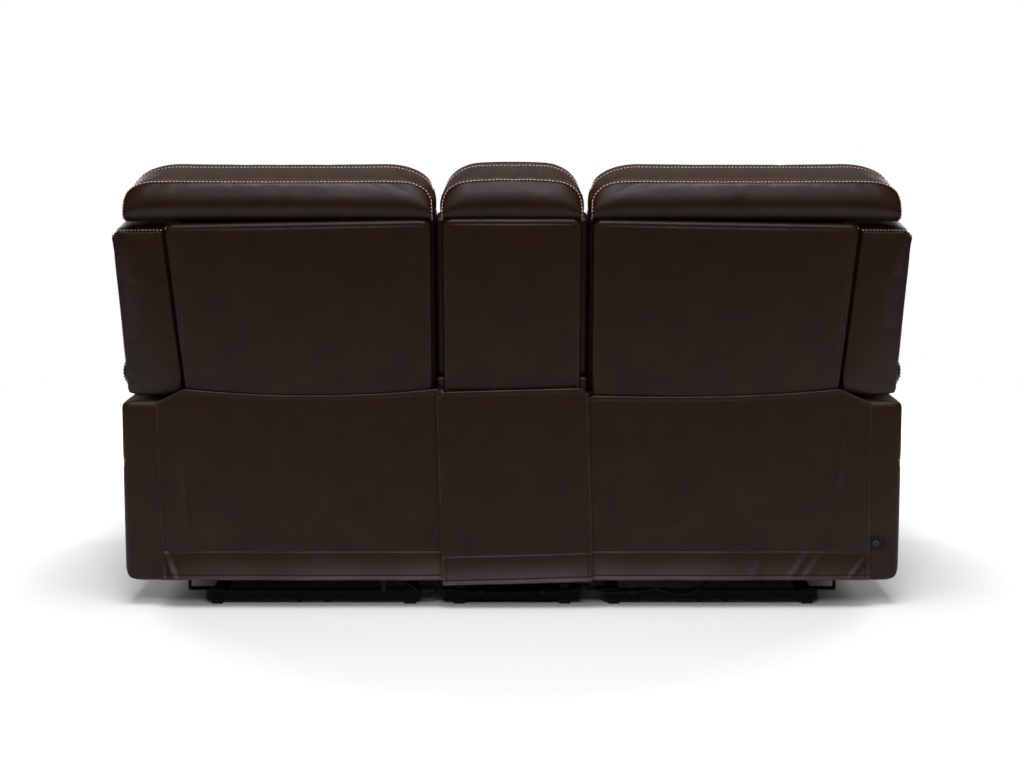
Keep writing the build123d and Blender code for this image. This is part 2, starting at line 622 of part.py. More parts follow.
# Lid with a knuckle at each side, on a pin between two ears behind it
lid_front = BIN_FRONT - LID_LAP
lid_rear = BIN_REAR + LID_LAP
lid_low = CONSOLE_TOP + TOUCH
lid_half = CONSOLE_HALF - TOUCH
lid_side = outline(box_points(lid_front, lid_rear, lid_low, lid_low + LID_THICK),
                   {2: LID_CROWN, 3: LID_CROWN})
lid_rear_view = outline(box_points(-lid_half, lid_half, lid_low, lid_low + LID_THICK), {2: LID_CROWN})
lid = along_x(lid_side, -lid_half, lid_half)
lid &= along_y(lid_rear_view, lid_front - LID_THICK, lid_rear)
knuckle_y = lid_rear + KNUCKLE
knuckle_z = lid_low + KNUCKLE / 2
knuckle_face = Pos(knuckle_y, knuckle_z) * Circle(KNUCKLE / 2)
knuckle_face += outline(box_points(lid_rear, knuckle_y, lid_low, lid_low + KNUCKLE))
knuckle_face -= Pos(knuckle_y, knuckle_z) * Circle(HINGE_PIN / 2 + RUN)
ear_face = Pos(knuckle_y, knuckle_z) * Circle(KNUCKLE / 2)
ear_face += outline(box_points(knuckle_y - KNUCKLE / 2, knuckle_y + KNUCKLE / 2, CONSOLE_TOP, knuckle_z))
ears = []
for knuckle_x in (-KNUCKLE_OFFSET, KNUCKLE_OFFSET):
    start = knuckle_x - KNUCKLE_LENGTH / 2
    end = knuckle_x + KNUCKLE_LENGTH / 2
    lid += along_x(knuckle_face, start, end)
    ear = along_x(ear_face, start - TOUCH - EAR, start - TOUCH)
    ear += along_x(ear_face, end + TOUCH, end + TOUCH + EAR)
    ear += pin((knuckle_y, knuckle_z), HINGE_PIN, start - TOUCH - EAR, end + TOUCH + EAR)
    ears.append(ear)
save("console_lid", lid)
save("lid_hinges", group(*ears))

# Seat frames: runners on the tracks, mechanism side plates, cross tubes, deck and springs
runner_inner = TRACK_FLANGE / 2 + TOUCH
runner_outer = runner_inner + RUNNER_WALL
runner_top = TRACK_Z + TOUCH
runner = block(track_x - runner_outer, track_x + runner_outer, RUNNER_FRONT, RUNNER_REAR,
               runner_top - RUNNER_LIP, runner_top + RUNNER_WALL)
runner -= block(track_x - runner_inner, track_x + runner_inner, RUNNER_FRONT, RUNNER_REAR,
                runner_top - RUNNER_LIP, runner_top)
cross_z = runner_top + RUNNER_WALL
cross_x0 = SEAT_CENTER - RAIL_OFFSET - runner_outer
cross_x1 = SEAT_CENTER + RAIL_OFFSET + runner_outer
cross_tubes = [along_x(square_face(y, cross_z), cross_x0, cross_x1) for y in (CROSS_FRONT, CROSS_REAR)]

tilt = math.radians(SCISSOR_TILT)
stowed = math.radians(SCISSOR_STOWED)
axis_way = (-math.cos(tilt), math.sin(tilt))
rise_way = (math.sin(tilt), math.cos(tilt))


def scissor_point(along, up):
    """A (Y, Z) point of the scissor, along its axis and square to it, from its pivot."""
    return (SCISSOR_Y + along * axis_way[0] + up * rise_way[0],
            SCISSOR_Z + along * axis_way[1] + up * rise_way[1])


reach = LINK_LENGTH * math.cos(stowed)
spread = LINK_LENGTH * math.sin(stowed)
open_spread = LINK_LENGTH * math.sin(math.radians(SCISSOR_OPEN))
scissor_root = scissor_point(0, 0)
first_end = scissor_point(reach, spread)
first_middle = scissor_point(reach / 2, spread / 2)
second_rear = scissor_point(0, spread)
second_end = scissor_point(reach, 0)
third_middle = scissor_point(reach * 1.5, spread / 2)
third_end = scissor_point(2 * reach, 0)

plate_x0 = SEAT_CENTER + PLATE_OFFSET
plate_x1 = plate_x0 + PLATE
plate_rim = LINK_WIDTH
plate_face = outline([(SCISSOR_Y - plate_rim, SCISSOR_Z - plate_rim),
                      (SCISSOR_Y + plate_rim, SCISSOR_Z - plate_rim),
                      (CROSS_REAR + TUBE, cross_z), (CROSS_REAR + TUBE, DECK_Z),
                      (second_rear[0] - plate_rim, DECK_Z)])
plate_face -= Pos(*scissor_root) * Circle(TORQUE_TUBE / 2 + RUN)
slot_middle = scissor_point(0, (spread + open_spread) / 2)
slot_face = Pos(*slot_middle) * Rot(0, 0, 90 - SCISSOR_TILT) * SlotCenterToCenter(
    spread - open_spread, LINK_PIN + SLOT_PLAY)
plate_face -= slot_face
side_plate = along_x(plate_face, plate_x0, plate_x1)
for cross_y in (CROSS_FRONT, CROSS_REAR):
    side_plate -= block(plate_x0, plate_x1, cross_y, cross_y + TUBE, cross_z, cross_z + TUBE)

deck_half = BAY_HALF - SEAT_SIDE_GAP
deck_front = SEAT_FRONT + SEAT_SIDE_GAP
deck_side = along_y(square_face(SEAT_CENTER + RAIL_OFFSET - TUBE / 2, DECK_Z),
                    deck_front + TUBE, SEAT_REAR - TUBE)
deck_ends = [along_x(square_face(y, DECK_Z), SEAT_CENTER - deck_half, SEAT_CENTER + deck_half)
             for y in (deck_front, SEAT_REAR - TUBE)]

# Slotted brackets behind the deck that the back's levers push
bracket_x1 = lever_x0 - TOUCH
bracket_x0 = bracket_x1 - LEVER_THICK
lever_end = (PIVOT_Y, PIVOT_Z - LEVER)
lever_rise = LEVER * (1 - math.cos(math.radians(RECLINE)))
slot_width = LINK_PIN + LEVER_PLAY
bracket_face = outline(box_points(SEAT_REAR, lever_end[0] + slot_width / 2 + BRACKET_RIM, DECK_Z,
                                  lever_end[1] + lever_rise + slot_width / 2 + BRACKET_RIM))
bracket_face -= Pos(lever_end[0], lever_end[1] + lever_rise / 2) * Rot(0, 0, 90) * SlotCenterToCenter(
    lever_rise, slot_width)
bracket = along_x(bracket_face, bracket_x0, bracket_x1)


def zigzag_spring(x):
    """A sinuous seat spring: wire bent to and fro from the front tube to the rear tube."""
    length = SEAT_REAR - TUBE - deck_front - TUBE
    step = length / SPRING_TURNS
    start_y = deck_front + TUBE
    half = SPRING_WIRE / 2
    ridge = []
    for index in range(SPRING_TURNS + 1):
        sway = 0 if index in (0, SPRING_TURNS) else SPRING_SWING * (-1) ** index
        ridge.append((x + sway, start_y + index * step))
    right = [(px + half, py) for px, py in ridge]
    left = [(px - half, py) for px, py in reversed(ridge)]
    wire_z = DECK_Z + TUBE - SPRING_WIRE
    return along_z(outline(right + left), wire_z, wire_z + SPRING_WIRE)


spring_pitch = 2 * (RAIL_OFFSET - TUBE) / SPRING_COUNT
springs = [zigzag_spring(SEAT_CENTER + (index - (SPRING_COUNT - 1) / 2) * spring_pitch)
           for index in range(SPRING_COUNT)]
seat_frame = group(both_sides(runner), both_sides(side_plate), both_sides(bracket), *cross_tubes,
                   both_sides(deck_side), *deck_ends, *springs)
save_pair("seat_frame", seat_frame)

# Seat cushion: a front roll and a crowned seat, lofted from side to middle to side
cushion_z = DECK_Z + TUBE + TOUCH
seat_x0 = SEAT_CENTER - deck_half
seat_x1 = SEAT_CENTER + deck_half


def seat_section(x, drop):
    """Side profile of the seat cushion at x, lower by drop than at the middle."""
    top = SEAT_TOP - SEAT_CROWN - drop
    face = outline([(SEAT_FRONT, cushion_z), (SEAT_REAR, cushion_z), (SEAT_REAR, top),
                    (SEAT_FRONT + SEAT_ROLL, top - CHANNEL), (SEAT_FRONT, top - SEAT_ROLL / 3)],
                   {2: SEAT_CROWN, 3: SEAT_CROWN})
    return Plane(origin=(x, 0, 0), x_dir=(0, 1, 0), z_dir=(1, 0, 0)) * face


seat_cushion = loft([seat_section(seat_x0, SEAT_CROWN), seat_section(SEAT_CENTER, 0),
                     seat_section(seat_x1, SEAT_CROWN)])
save_pair("seat_cushion", seat_cushion)


# Footrest scissor links, in two layers outside the side plates
def link(start, end, x0, x1, holes, bore=LINK_PIN + 2 * RUN):
    """A round-ended flat bar between two (Y, Z) points, drilled at the named points."""
    run_y = end[0] - start[0]
    run_z = end[1] - start[1]
    middle = ((start[0] + end[0]) / 2, (start[1] + end[1]) / 2)
    turn = math.degrees(math.atan2(run_z, run_y))
    face = Pos(*middle) * Rot(0, 0, turn) * SlotCenterToCenter(math.hypot(run_y, run_z), LINK_WIDTH)
    for point in holes:
        face -= Pos(*point) * Circle(bore / 2)
    return along_x(face, x0, x1)


layer_a0 = plate_x1 + LINK_GAP
layer_a1 = layer_a0 + LINK_THICK
layer_b0 = layer_a1 + LINK_GAP
layer_b1 = layer_b0 + LINK_THICK
first_link = link(scissor_root, first_end, layer_a0, layer_a1, [])
first_link += pin(first_middle, LINK_PIN, layer_a1, layer_b1 + LINK_GAP)
first_link += pin(first_end, LINK_PIN, layer_a1, layer_b1 + LINK_GAP)
torque_tube = along_x(Pos(*scissor_root) * (Circle(TORQUE_TUBE / 2) - Circle(TORQUE_TUBE / 2 - TUBE_WALL)),
                      2 * SEAT_CENTER - layer_a0, layer_a0)
save_pair("footrest_drive_links", group(both_sides(first_link), torque_tube))
second_link = link(second_rear, second_end, layer_b0, layer_b1, [first_middle])
second_link += pin(second_rear, LINK_PIN, plate_x0, layer_b0)
second_link += pin(second_end, LINK_PIN, layer_a0 - LINK_GAP / 2, layer_b0)
save_pair("footrest_cross_links", both_sides(second_link))
third_link = link(first_end, third_end, layer_b0, layer_b1, [first_end])
third_link += pin(third_middle, LINK_PIN, layer_a0 - LINK_GAP / 2, layer_b0)
third_link += pin(third_end, LINK_PIN, layer_a0 - LINK_GAP / 2, layer_b0)
save_pair("footrest_front_links", both_sides(third_link))
fourth_link = link(second_end, third_middle, layer_a0, layer_a1, [second_end, third_middle])
save_pair("footrest_stay_links", both_sides(fourth_link))

# Ottoman: a board on two brackets, with a padded face
board_y1 = third_end[0] - OTTOMAN_OFFSET
board_y0 = board_y1 - OTTOMAN_BOARD
board_z0 = third_end[1] - OTTOMAN_BELOW
board_z1 = third_end[1] + OTTOMAN_ABOVE
arm_face = outline(box_points(board_y1, third_end[0], third_end[1] - LINK_WIDTH / 2,
                              third_end[1] + LINK_WIDTH / 2))
arm_face += Pos(*third_end) * Circle(LINK_WIDTH / 2)
arm_face -= Pos(*third_end) * Circle(LINK_PIN / 2 + RUN)
ottoman_board = block(seat_x0, seat_x1, board_y0, board_y1, board_z0, board_z1)
save_pair("ottoman_board", group(ottoman_board, both_sides(along_x(arm_face, layer_a0, layer_a1))))
pad_y1 = board_y0 - TOUCH
pad_y0 = pad_y1 - OTTOMAN_PAD
ottoman_side = outline([(pad_y0, board_z0), (pad_y1, board_z0), (pad_y1, board_z1), (pad_y0, board_z1)],
                       {3: OTTOMAN_CROWN})
ottoman_plan = outline([(seat_x0, pad_y0), (seat_x1, pad_y0), (seat_x1, pad_y1), (seat_x0, pad_y1)],
                       {0: OTTOMAN_CROWN})
ottoman_pad = along_x(ottoman_side, seat_x0, seat_x1) & along_z(ottoman_plan, board_z0, board_z1)
save_pair("ottoman_pad", ottoman_pad)

# Drive: a screw rail and gear motor under the cross tubes, and the carriage it moves
rail_top = cross_z
carriage_y = ACTUATOR_REAR - MOTOR_LENGTH - CARRIAGE_LENGTH - CARRIAGE_START
actuator = block(SEAT_CENTER - ACTUATOR_RAIL / 2, SEAT_CENTER + ACTUATOR_RAIL / 2,
                 carriage_y - CARRIAGE_TRAVEL - RAIL_END, ACTUATOR_REAR, rail_top - ACTUATOR_RAIL, rail_top)
motor_top = rail_top - ACTUATOR_RAIL
motor = block(SEAT_CENTER - MOTOR_WIDTH / 2, SEAT_CENTER + MOTOR_WIDTH / 2,
              ACTUATOR_REAR - MOTOR_LENGTH, ACTUATOR_REAR, motor_top - MOTOR_HEIGHT, motor_top)
save_pair("actuator", actuator + motor)
carriage_z = motor_top + CARRIAGE_HEIGHT / 2
carriage = block(SEAT_CENTER - CARRIAGE_WIDTH / 2, SEAT_CENTER + CARRIAGE_WIDTH / 2,
                 carriage_y, carriage_y + CARRIAGE_LENGTH, motor_top - CARRIAGE_HEIGHT / 2, carriage_z)
carriage -= block(SEAT_CENTER - ACTUATOR_RAIL / 2 - TOUCH, SEAT_CENTER + ACTUATOR_RAIL / 2 + TOUCH,
                  carriage_y, carriage_y + CARRIAGE_LENGTH, motor_top - TOUCH, carriage_z)
save_pair("actuator_carriage", carriage)

# Control plates with a sprung rocker on the inner side of each arm's pad
control_x1 = BAY_OUTER
control_x0 = control_x1 - CONTROL_THICK
rocker_x = control_x1 - CONTROL_THICK / 2
rocker_half = ROCKER_HEIGHT / 2 + ROCKER_STUB
control_face = Pos(CONTROL_Y, CONTROL_Z) * RectangleRounded(CONTROL_LENGTH, CONTROL_HEIGHT, CONTROL_CORNER)
control_face -= Pos(CONTROL_Y, CONTROL_Z) * Rectangle(ROCKER_LENGTH + 2 * ROCKER_GAP,
                                                      ROCKER_HEIGHT + 2 * ROCKER_GAP)
stub_face = Pos(rocker_x, CONTROL_Y) * Circle(ROCKER_PIN / 2)
bore_face = Pos(rocker_x, CONTROL_Y) * Circle(ROCKER_PIN / 2 + RUN)
control = along_x(control_face, control_x0, control_x1)
control -= along_z(bore_face, CONTROL_Z - rocker_half, CONTROL_Z + rocker_half)
save("control_plates", group(control, mirrored(control)))
rocker_y0 = CONTROL_Y - ROCKER_LENGTH / 2
rocker_y1 = CONTROL_Y + ROCKER_LENGTH / 2
rocker_face = outline([(control_x0 - ROCKER_PROUD, rocker_y0), (rocker_x, rocker_y0),
                       (control_x1 - TOUCH, CONTROL_Y), (rocker_x, rocker_y1),
                       (control_x0 - ROCKER_PROUD, rocker_y1)], {4: -ROCKER_PROUD / 4})
rocker = along_z(rocker_face, CONTROL_Z - ROCKER_HEIGHT / 2, CONTROL_Z + ROCKER_HEIGHT / 2)
rocker += along_z(stub_face, CONTROL_Z - rocker_half, CONTROL_Z + rocker_half)
save_pair("rocker", rocker)

# Wiring harness that hangs under the skirts, from seat to seat past the console
cable_y = BASE_REAR + CLIP_WALL + CABLE / 2
cable_route = [(330, 62), (296, 60), (262, 56), (238, 42), (223, 24), (204, 20), (188, 33), (160, 38),
               (110, 31), (40, 29), (-40, 32), (-110, 29), (-158, 38), (-186, 47), (-206, 35),
               (-230, 27), (-268, 30), (-318, 31), (-352, 40), (-384, 28), (-414, 23), (-448, 31),
               (-480, 54)]
cable_points = [Vector(x, cable_y, z) for x, z in cable_route]
cable_radii = []
for before, corner, after in zip(cable_points, cable_points[1:], cable_points[2:]):
    turn = (corner - before).get_angle(after - corner)
    shorter = min((corner - before).length, (after - corner).length)
    cable_radii.append(0.45 * shorter / math.tan(math.radians(turn) / 2))
print("cable radii", [round(radius) for radius in cable_radii])
cable_path = FilletPolyline(*cable_points, radius=cable_radii)
cable_start = Plane(origin=cable_points[0], z_dir=cable_points[1] - cable_points[0])
cable = sweep(cable_start * Circle(CABLE / 2), path=cable_path)
print("cable volume over section x length", cable.volume / (math.pi * CABLE ** 2 / 4 * cable_path.length))
save("harness", cable)


def cable_clip(first, second):
    """A clip on a base tube's rear face, round the middle of one run of the cable."""
    x = (cable_route[first][0] + cable_route[second][0]) / 2
    z = (cable_route[first][1] + cable_route[second][1]) / 2
    half = CABLE / 2 + CLIP_WALL
    clip = block(x - CLIP_WIDTH / 2, x + CLIP_WIDTH / 2, BASE_REAR, BASE_REAR + 2 * half,
                 min(z - half, tube_high - CLIP_WALL), z + half)
    return clip - along_x(Pos(cable_y, z) * Circle(CABLE / 2 + CLIP_GAP), x - CLIP_WIDTH, x + CLIP_WIDTH)


save("harness_clips", group(*[cable_clip(*pair) for pair in ((0, 1), (8, 9), (10, 11), (16, 17))]))
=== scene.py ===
# Power reclining loveseat with a fixed console between two reclining seats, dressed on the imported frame.
# Metres, +Z up. The outside back faces +Y, the seats face -Y, and the sitter's left is +X.
import math

import bmesh
import bpy
import numpy as np
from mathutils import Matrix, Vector


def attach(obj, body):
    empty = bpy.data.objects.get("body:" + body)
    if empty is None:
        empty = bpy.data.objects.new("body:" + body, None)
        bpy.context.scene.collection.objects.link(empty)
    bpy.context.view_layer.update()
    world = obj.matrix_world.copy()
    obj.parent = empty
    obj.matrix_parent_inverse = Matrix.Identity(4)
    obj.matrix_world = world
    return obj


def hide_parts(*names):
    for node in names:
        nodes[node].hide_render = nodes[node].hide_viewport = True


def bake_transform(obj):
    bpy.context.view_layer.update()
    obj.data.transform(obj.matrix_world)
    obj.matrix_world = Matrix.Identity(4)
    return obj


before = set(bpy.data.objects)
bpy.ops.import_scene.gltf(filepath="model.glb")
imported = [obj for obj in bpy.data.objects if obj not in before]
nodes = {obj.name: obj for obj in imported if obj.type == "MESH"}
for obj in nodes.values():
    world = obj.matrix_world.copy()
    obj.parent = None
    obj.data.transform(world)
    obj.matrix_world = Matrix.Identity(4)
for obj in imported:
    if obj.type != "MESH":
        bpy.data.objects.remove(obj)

scene = bpy.context.scene
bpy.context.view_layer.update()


# Steel base: squares of welded 24 mm tube under each seat and the console, standing on moulded feet.
# The tube is sprayed with black powder that is baked on, which leaves a satin, faintly pebbled skin.
MM = 0.001
POWDER_BLACK = "#020202"
POWDER_DUST = "#050504"
POWDER_PEBBLE = 1.6
DUST_PATCH = 60.0


def linear(code):
    """An sRGB hex colour as the linear colour a shader takes."""
    parts = [int(code[i:i + 2], 16) / 255 for i in (1, 3, 5)]
    return tuple(c / 12.92 if c <= 0.04045 else ((c + 0.055) / 1.055) ** 2.4 for c in parts) + (1.0,)


def add(tree, kind, inputs=None, **settings):
    """One node with its settings, and a value or a link on each named input."""
    node = tree.nodes.new(kind)
    for key, value in settings.items():
        setattr(node, key, value)
    for key, value in (inputs or {}).items():
        if isinstance(value, bpy.types.NodeSocket):
            tree.links.new(value, node.inputs[key])
        else:
            node.inputs[key].default_value = value
    return node


def finish_called(name, values):
    """A new material with its shader set to some values, and the object coordinates its patterns lie on."""
    material = bpy.data.materials.new(name)
    material.use_nodes = True
    tree = material.node_tree
    tree.nodes.clear()
    shader = add(tree, "ShaderNodeBsdfPrincipled", values)
    add(tree, "ShaderNodeOutputMaterial", {"Surface": shader.outputs[0]})
    place = add(tree, "ShaderNodeTexCoord").outputs["Object"]
    return material, tree, shader, place


def mottled(name, patch, detail, dark, light, values):
    """A new material whose colour drifts between two tones, in patches of one size in millimetres."""
    material, tree, shader, place = finish_called(name, values)
    drift = add(tree, "ShaderNodeTexNoise", {"Vector": place, "Scale": 1000 / patch, "Detail": detail})
    tone = add(tree, "ShaderNodeMix", {0: drift.outputs["Fac"], 6: linear(dark), 7: linear(light)}, data_type="RGBA")
    tree.links.new(tone.outputs[2], shader.inputs["Base Color"])
    return material, tree, shader, place


def wear(material, *names):
    """Give CAD nodes that stay in view their finish."""
    for name in names:
        for spot in nodes[name].material_slots:
            spot.material = material


powder_coat, tree, shader, place = mottled("powder_coated_steel", DUST_PATCH, 4.0, POWDER_BLACK, POWDER_DUST,
                                           {"Roughness": 0.42, "Specular IOR Level": 0.06})
pebble = add(tree, "ShaderNodeTexNoise", {"Vector": place, "Scale": 1000 / POWDER_PEBBLE, "Detail": 1.0})
skin = add(tree, "ShaderNodeBump", {"Height": pebble.outputs["Fac"], "Distance": 0.05 * MM, "Strength": 0.6})
tree.links.new(skin.outputs[0], shader.inputs["Normal"])
wear(powder_coat, "base_frame", "back_hinges", "lid_hinges")


# Base bolts: two hexagon bolts with washers under each rear tube, which hold the seat's side rails down.
# They are made of steel and sprayed together with the tube, so only their outline tells them from it.
BOLT_X = (519.0, 453.0, -458.0, -523.0)
BOLT_Y = 394.0
BOLT_TOP = 10.0
BOLT_SIZES = {"Head": 11.0, "Height": 4.0, "Washer": 16.0, "Gauge": 1.2}


def placed(name, data):
    """A new object in the scene, at its origin."""
    piece = bpy.data.objects.new(name, data)
    scene.collection.objects.link(piece)
    return piece


def settled(piece):
    """A plain mesh of a piece, with its modifiers worked in."""
    return bpy.data.meshes.new_from_object(piece.evaluated_get(bpy.context.evaluated_depsgraph_get()))


def made_by(tree, piece, sizes):
    """The plain mesh that a node tree makes on a piece, with the tree's named sizes in millimetres."""
    maker = piece.modifiers.new(tree.name, "NODES")
    maker.node_group = tree
    for item in tree.interface.items_tree:
        if item.name in sizes:
            maker[item.identifier] = sizes[item.name] * MM
    made = settled(piece)
    piece.modifiers.clear()
    return made


bolt_tree = bpy.data.node_groups.new("hexagon_bolts", "GeometryNodeTree")
bolt_tree.interface.new_socket("Holes", in_out="INPUT", socket_type="NodeSocketGeometry")
for size in BOLT_SIZES:
    bolt_tree.interface.new_socket(size, in_out="INPUT", socket_type="NodeSocketFloat")
bolt_tree.interface.new_socket("Bolts", in_out="OUTPUT", socket_type="NodeSocketGeometry")
given = add(bolt_tree, "NodeGroupInput").outputs
bolt = []
for sides, across, tall, under in ((6, "Head", "Height", True), (20, "Washer", "Gauge", False)):
    reach = add(bolt_tree, "ShaderNodeMath", {0: given[across], 1: 0.5}, operation="MULTIPLY")
    disc = add(bolt_tree, "GeometryNodeMeshCylinder", {"Vertices": sides, "Radius": reach.outputs[0],
                                                       "Depth": given[tall]})
    sunk = add(bolt_tree, "ShaderNodeMath", {0: given[tall], 1: -0.5}, operation="MULTIPLY")
    if under:
        sunk = add(bolt_tree, "ShaderNodeMath", {0: sunk.outputs[0], 1: given["Gauge"]}, operation="SUBTRACT")
    down = add(bolt_tree, "ShaderNodeCombineXYZ", {2: sunk.outputs[0]})
    bolt.append(add(bolt_tree, "GeometryNodeTransform", {"Geometry": disc.outputs["Mesh"],
                                                         "Translation": down.outputs[0]}))
whole = add(bolt_tree, "GeometryNodeJoinGeometry")
for piece in bolt:
    bolt_tree.links.new(piece.outputs[0], whole.inputs[0])
set_in = add(bolt_tree, "GeometryNodeInstanceOnPoints", {"Points": given["Holes"], "Instance": whole.outputs[0]})
real = add(bolt_tree, "GeometryNodeRealizeInstances", {0: set_in.outputs[0]})
sprayed = add(bolt_tree, "GeometryNodeSetMaterial", {0: real.outputs[0], "Material": powder_coat})
add(bolt_tree, "NodeGroupOutput", {0: sprayed.outputs[0]})

holes = bpy.data.meshes.new("base_bolt_holes")
holes.from_pydata([(x * MM, BOLT_Y * MM, BOLT_TOP * MM) for x in BOLT_X], [], [])
bolts = placed("base_bolts", holes)
bolts.data = made_by(bolt_tree, bolts, BOLT_SIZES)
bolts.data.name = "base_bolts"
bpy.data.meshes.remove(holes)
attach(bolts, "frame")


# Feet and tube end caps: injection-moulded black polypropylene, with the fine etched grain of the mould.
# The feet push up into the tube, and the caps close its open ends.
PLASTIC_BLACK = "#050505"
PLASTIC_WORN = "#0B0B0A"
ETCH = 0.9
SCUFF = 14.0

black_plastic, tree, shader, place = mottled("moulded_black_polypropylene", SCUFF, 5.0, PLASTIC_BLACK, PLASTIC_WORN,
                                             {"Roughness": 0.5, "Specular IOR Level": 0.15})
etch = add(tree, "ShaderNodeTexNoise", {"Vector": place, "Scale": 1000 / ETCH, "Detail": 2.0})
skin = add(tree, "ShaderNodeBump", {"Height": etch.outputs["Fac"], "Distance": 0.03 * MM, "Strength": 0.7})
tree.links.new(skin.outputs[0], shader.inputs["Normal"])
wear(black_plastic, "feet", "tube_end_caps", "harness_clips", "control_plates", "rocker_left", "rocker_right",
     "actuator_left", "actuator_right", "actuator_carriage_left", "actuator_carriage_right", "inlet_plate")


# Seat tracks and footrest links: punched steel strip, zinc plated and left bright.
# Plating follows the rolled strip, so it shows faint long streaks and a slightly cloudy shine.
ZINC = "#9A9C9E"
ZINC_CLOUD = "#7C7E80"
STREAK_WIDE = 2.5
STREAK_LONG = 50.0

zinc_plate, tree, shader, place = finish_called("zinc_plated_steel", {"Metallic": 1.0})
streak = add(tree, "ShaderNodeMapping", {"Vector": place, "Scale": (1000 / STREAK_WIDE, 1000 / STREAK_LONG,
                                                                   1000 / STREAK_WIDE)})
cloud = add(tree, "ShaderNodeTexNoise", {"Vector": streak.outputs[0], "Scale": 1.0, "Detail": 3.0})
plated = add(tree, "ShaderNodeMix", {0: cloud.outputs["Fac"], 6: linear(ZINC_CLOUD), 7: linear(ZINC)},
             data_type="RGBA")
tree.links.new(plated.outputs[2], shader.inputs["Base Color"])
shine = add(tree, "ShaderNodeMapRange", {0: cloud.outputs["Fac"], 3: 0.32, 4: 0.5})
tree.links.new(shine.outputs[0], shader.inputs["Roughness"])
wear(zinc_plate, "seat_tracks")
for side in ("left", "right"):
    wear(powder_coat, f"seat_frame_{side}", f"back_frame_{side}")
    wear(zinc_plate, *[f"footrest_{link}_links_{side}" for link in ("drive", "cross", "front", "stay")])


# Wiring harness: a thin black vinyl cable that sags from seat to seat, held by four push-on clips.
# It comes down from behind one seat, passes under the console and goes up behind the other seat.
CABLE_ACROSS = 6 * MM
CABLE_Y = 407
CABLE_ROUTE = [(330, 62), (296, 60), (262, 56), (238, 42), (223, 24), (204, 20), (188, 33), (160, 38),
               (110, 31), (40, 29), (-40, 32), (-110, 29), (-158, 38), (-186, 47), (-206, 35),
               (-230, 27), (-268, 30), (-318, 31), (-352, 40), (-384, 28), (-414, 23), (-448, 31),
               (-480, 54)]
VINYL_BLACK = "#060606"
HANDLING = 9.0               # patches that handling has dulled

vinyl, tree, shader, place = finish_called("black_vinyl_cable_sheath", {"Base Color": linear(VINYL_BLACK),
                                                                        "Specular IOR Level": 0.12})
handling = add(tree, "ShaderNodeTexNoise", {"Vector": place, "Scale": 1000 / HANDLING, "Detail": 3.0})
gloss = add(tree, "ShaderNodeMapRange", {0: handling.outputs["Fac"], 3: 0.45, 4: 0.6})
tree.links.new(gloss.outputs[0], shader.inputs["Roughness"])

route = bpy.data.curves.new("harness_cable", "CURVE")
route.dimensions = "3D"
spline = route.splines.new("NURBS")
spline.points.add(len(CABLE_ROUTE) - 1)
for point, (x, z) in zip(spline.points, CABLE_ROUTE):
    point.co = (x * MM, CABLE_Y * MM, z * MM, 1)
spline.order_u = 3
spline.use_endpoint_u = True
spline.resolution_u = 8
route.bevel_depth = CABLE_ACROSS / 2
route.bevel_resolution = 4
route.use_fill_caps = True
route.materials.append(vinyl)
harness = placed("harness_cable", route)
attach(harness, "frame")
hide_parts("harness")


# Wooden inner frames: poplar plywood sawn to shape and left bare inside the upholstery.
# The face veneer has a long pale grain with darker growth lines.
PLY_PALE = "#C9A876"
PLY_LINE = "#9C7747"
GRAIN_LINE = 11.0
GRAIN_RUN = 125.0

plywood, tree, shader, place = finish_called("poplar_plywood", {"Roughness": 0.7})
along = add(tree, "ShaderNodeMapping", {"Vector": place, "Scale": (1000 / GRAIN_RUN, 1000 / GRAIN_LINE,
                                                                  1000 / GRAIN_LINE)})
growth = add(tree, "ShaderNodeTexNoise", {"Vector": along.outputs[0], "Scale": 1.0, "Detail": 5.0})
veneer = add(tree, "ShaderNodeMix", {0: growth.outputs["Fac"], 6: linear(PLY_LINE), 7: linear(PLY_PALE)},
             data_type="RGBA")
fibre = add(tree, "ShaderNodeBump", {"Height": growth.outputs["Fac"], "Distance": 0.2 * MM, "Strength": 0.4})
tree.links.new(veneer.outputs[2], shader.inputs["Base Color"])
tree.links.new(fibre.outputs[0], shader.inputs["Normal"])
wear(plywood, "arm_frames", "ottoman_board_left", "ottoman_board_right")


# Rear rail and console back board: plywood wrapped in black dust cloth, as both show in gaps between the cushions.
# The cloth is spunbond polypropylene, pressed with a fine point pattern and stapled on, and has no shine.
CLOTH_BLACK = "#060606"
CLOTH_WORN = "#0C0C0C"
LINT = 18.0
CLOTH_POINT = 3.0            # drawn coarser than the real 1 mm press pattern, so that it shows

dust_cloth, tree, shader, place = mottled("black_spunbond_dust_cloth", LINT, 5.0, CLOTH_BLACK, CLOTH_WORN,
                                          {"Roughness": 0.9, "Specular IOR Level": 0.1})
points = add(tree, "ShaderNodeTexVoronoi", {"Vector": place, "Scale": 1000 / CLOTH_POINT, "Randomness": 0.2})
pressed = add(tree, "ShaderNodeBump", {"Height": points.outputs["Distance"], "Distance": 0.2 * MM, "Strength": 0.5})
tree.links.new(pressed.outputs[0], shader.inputs["Normal"])
wear(dust_cloth, "rear_rail", "console_back_frame")


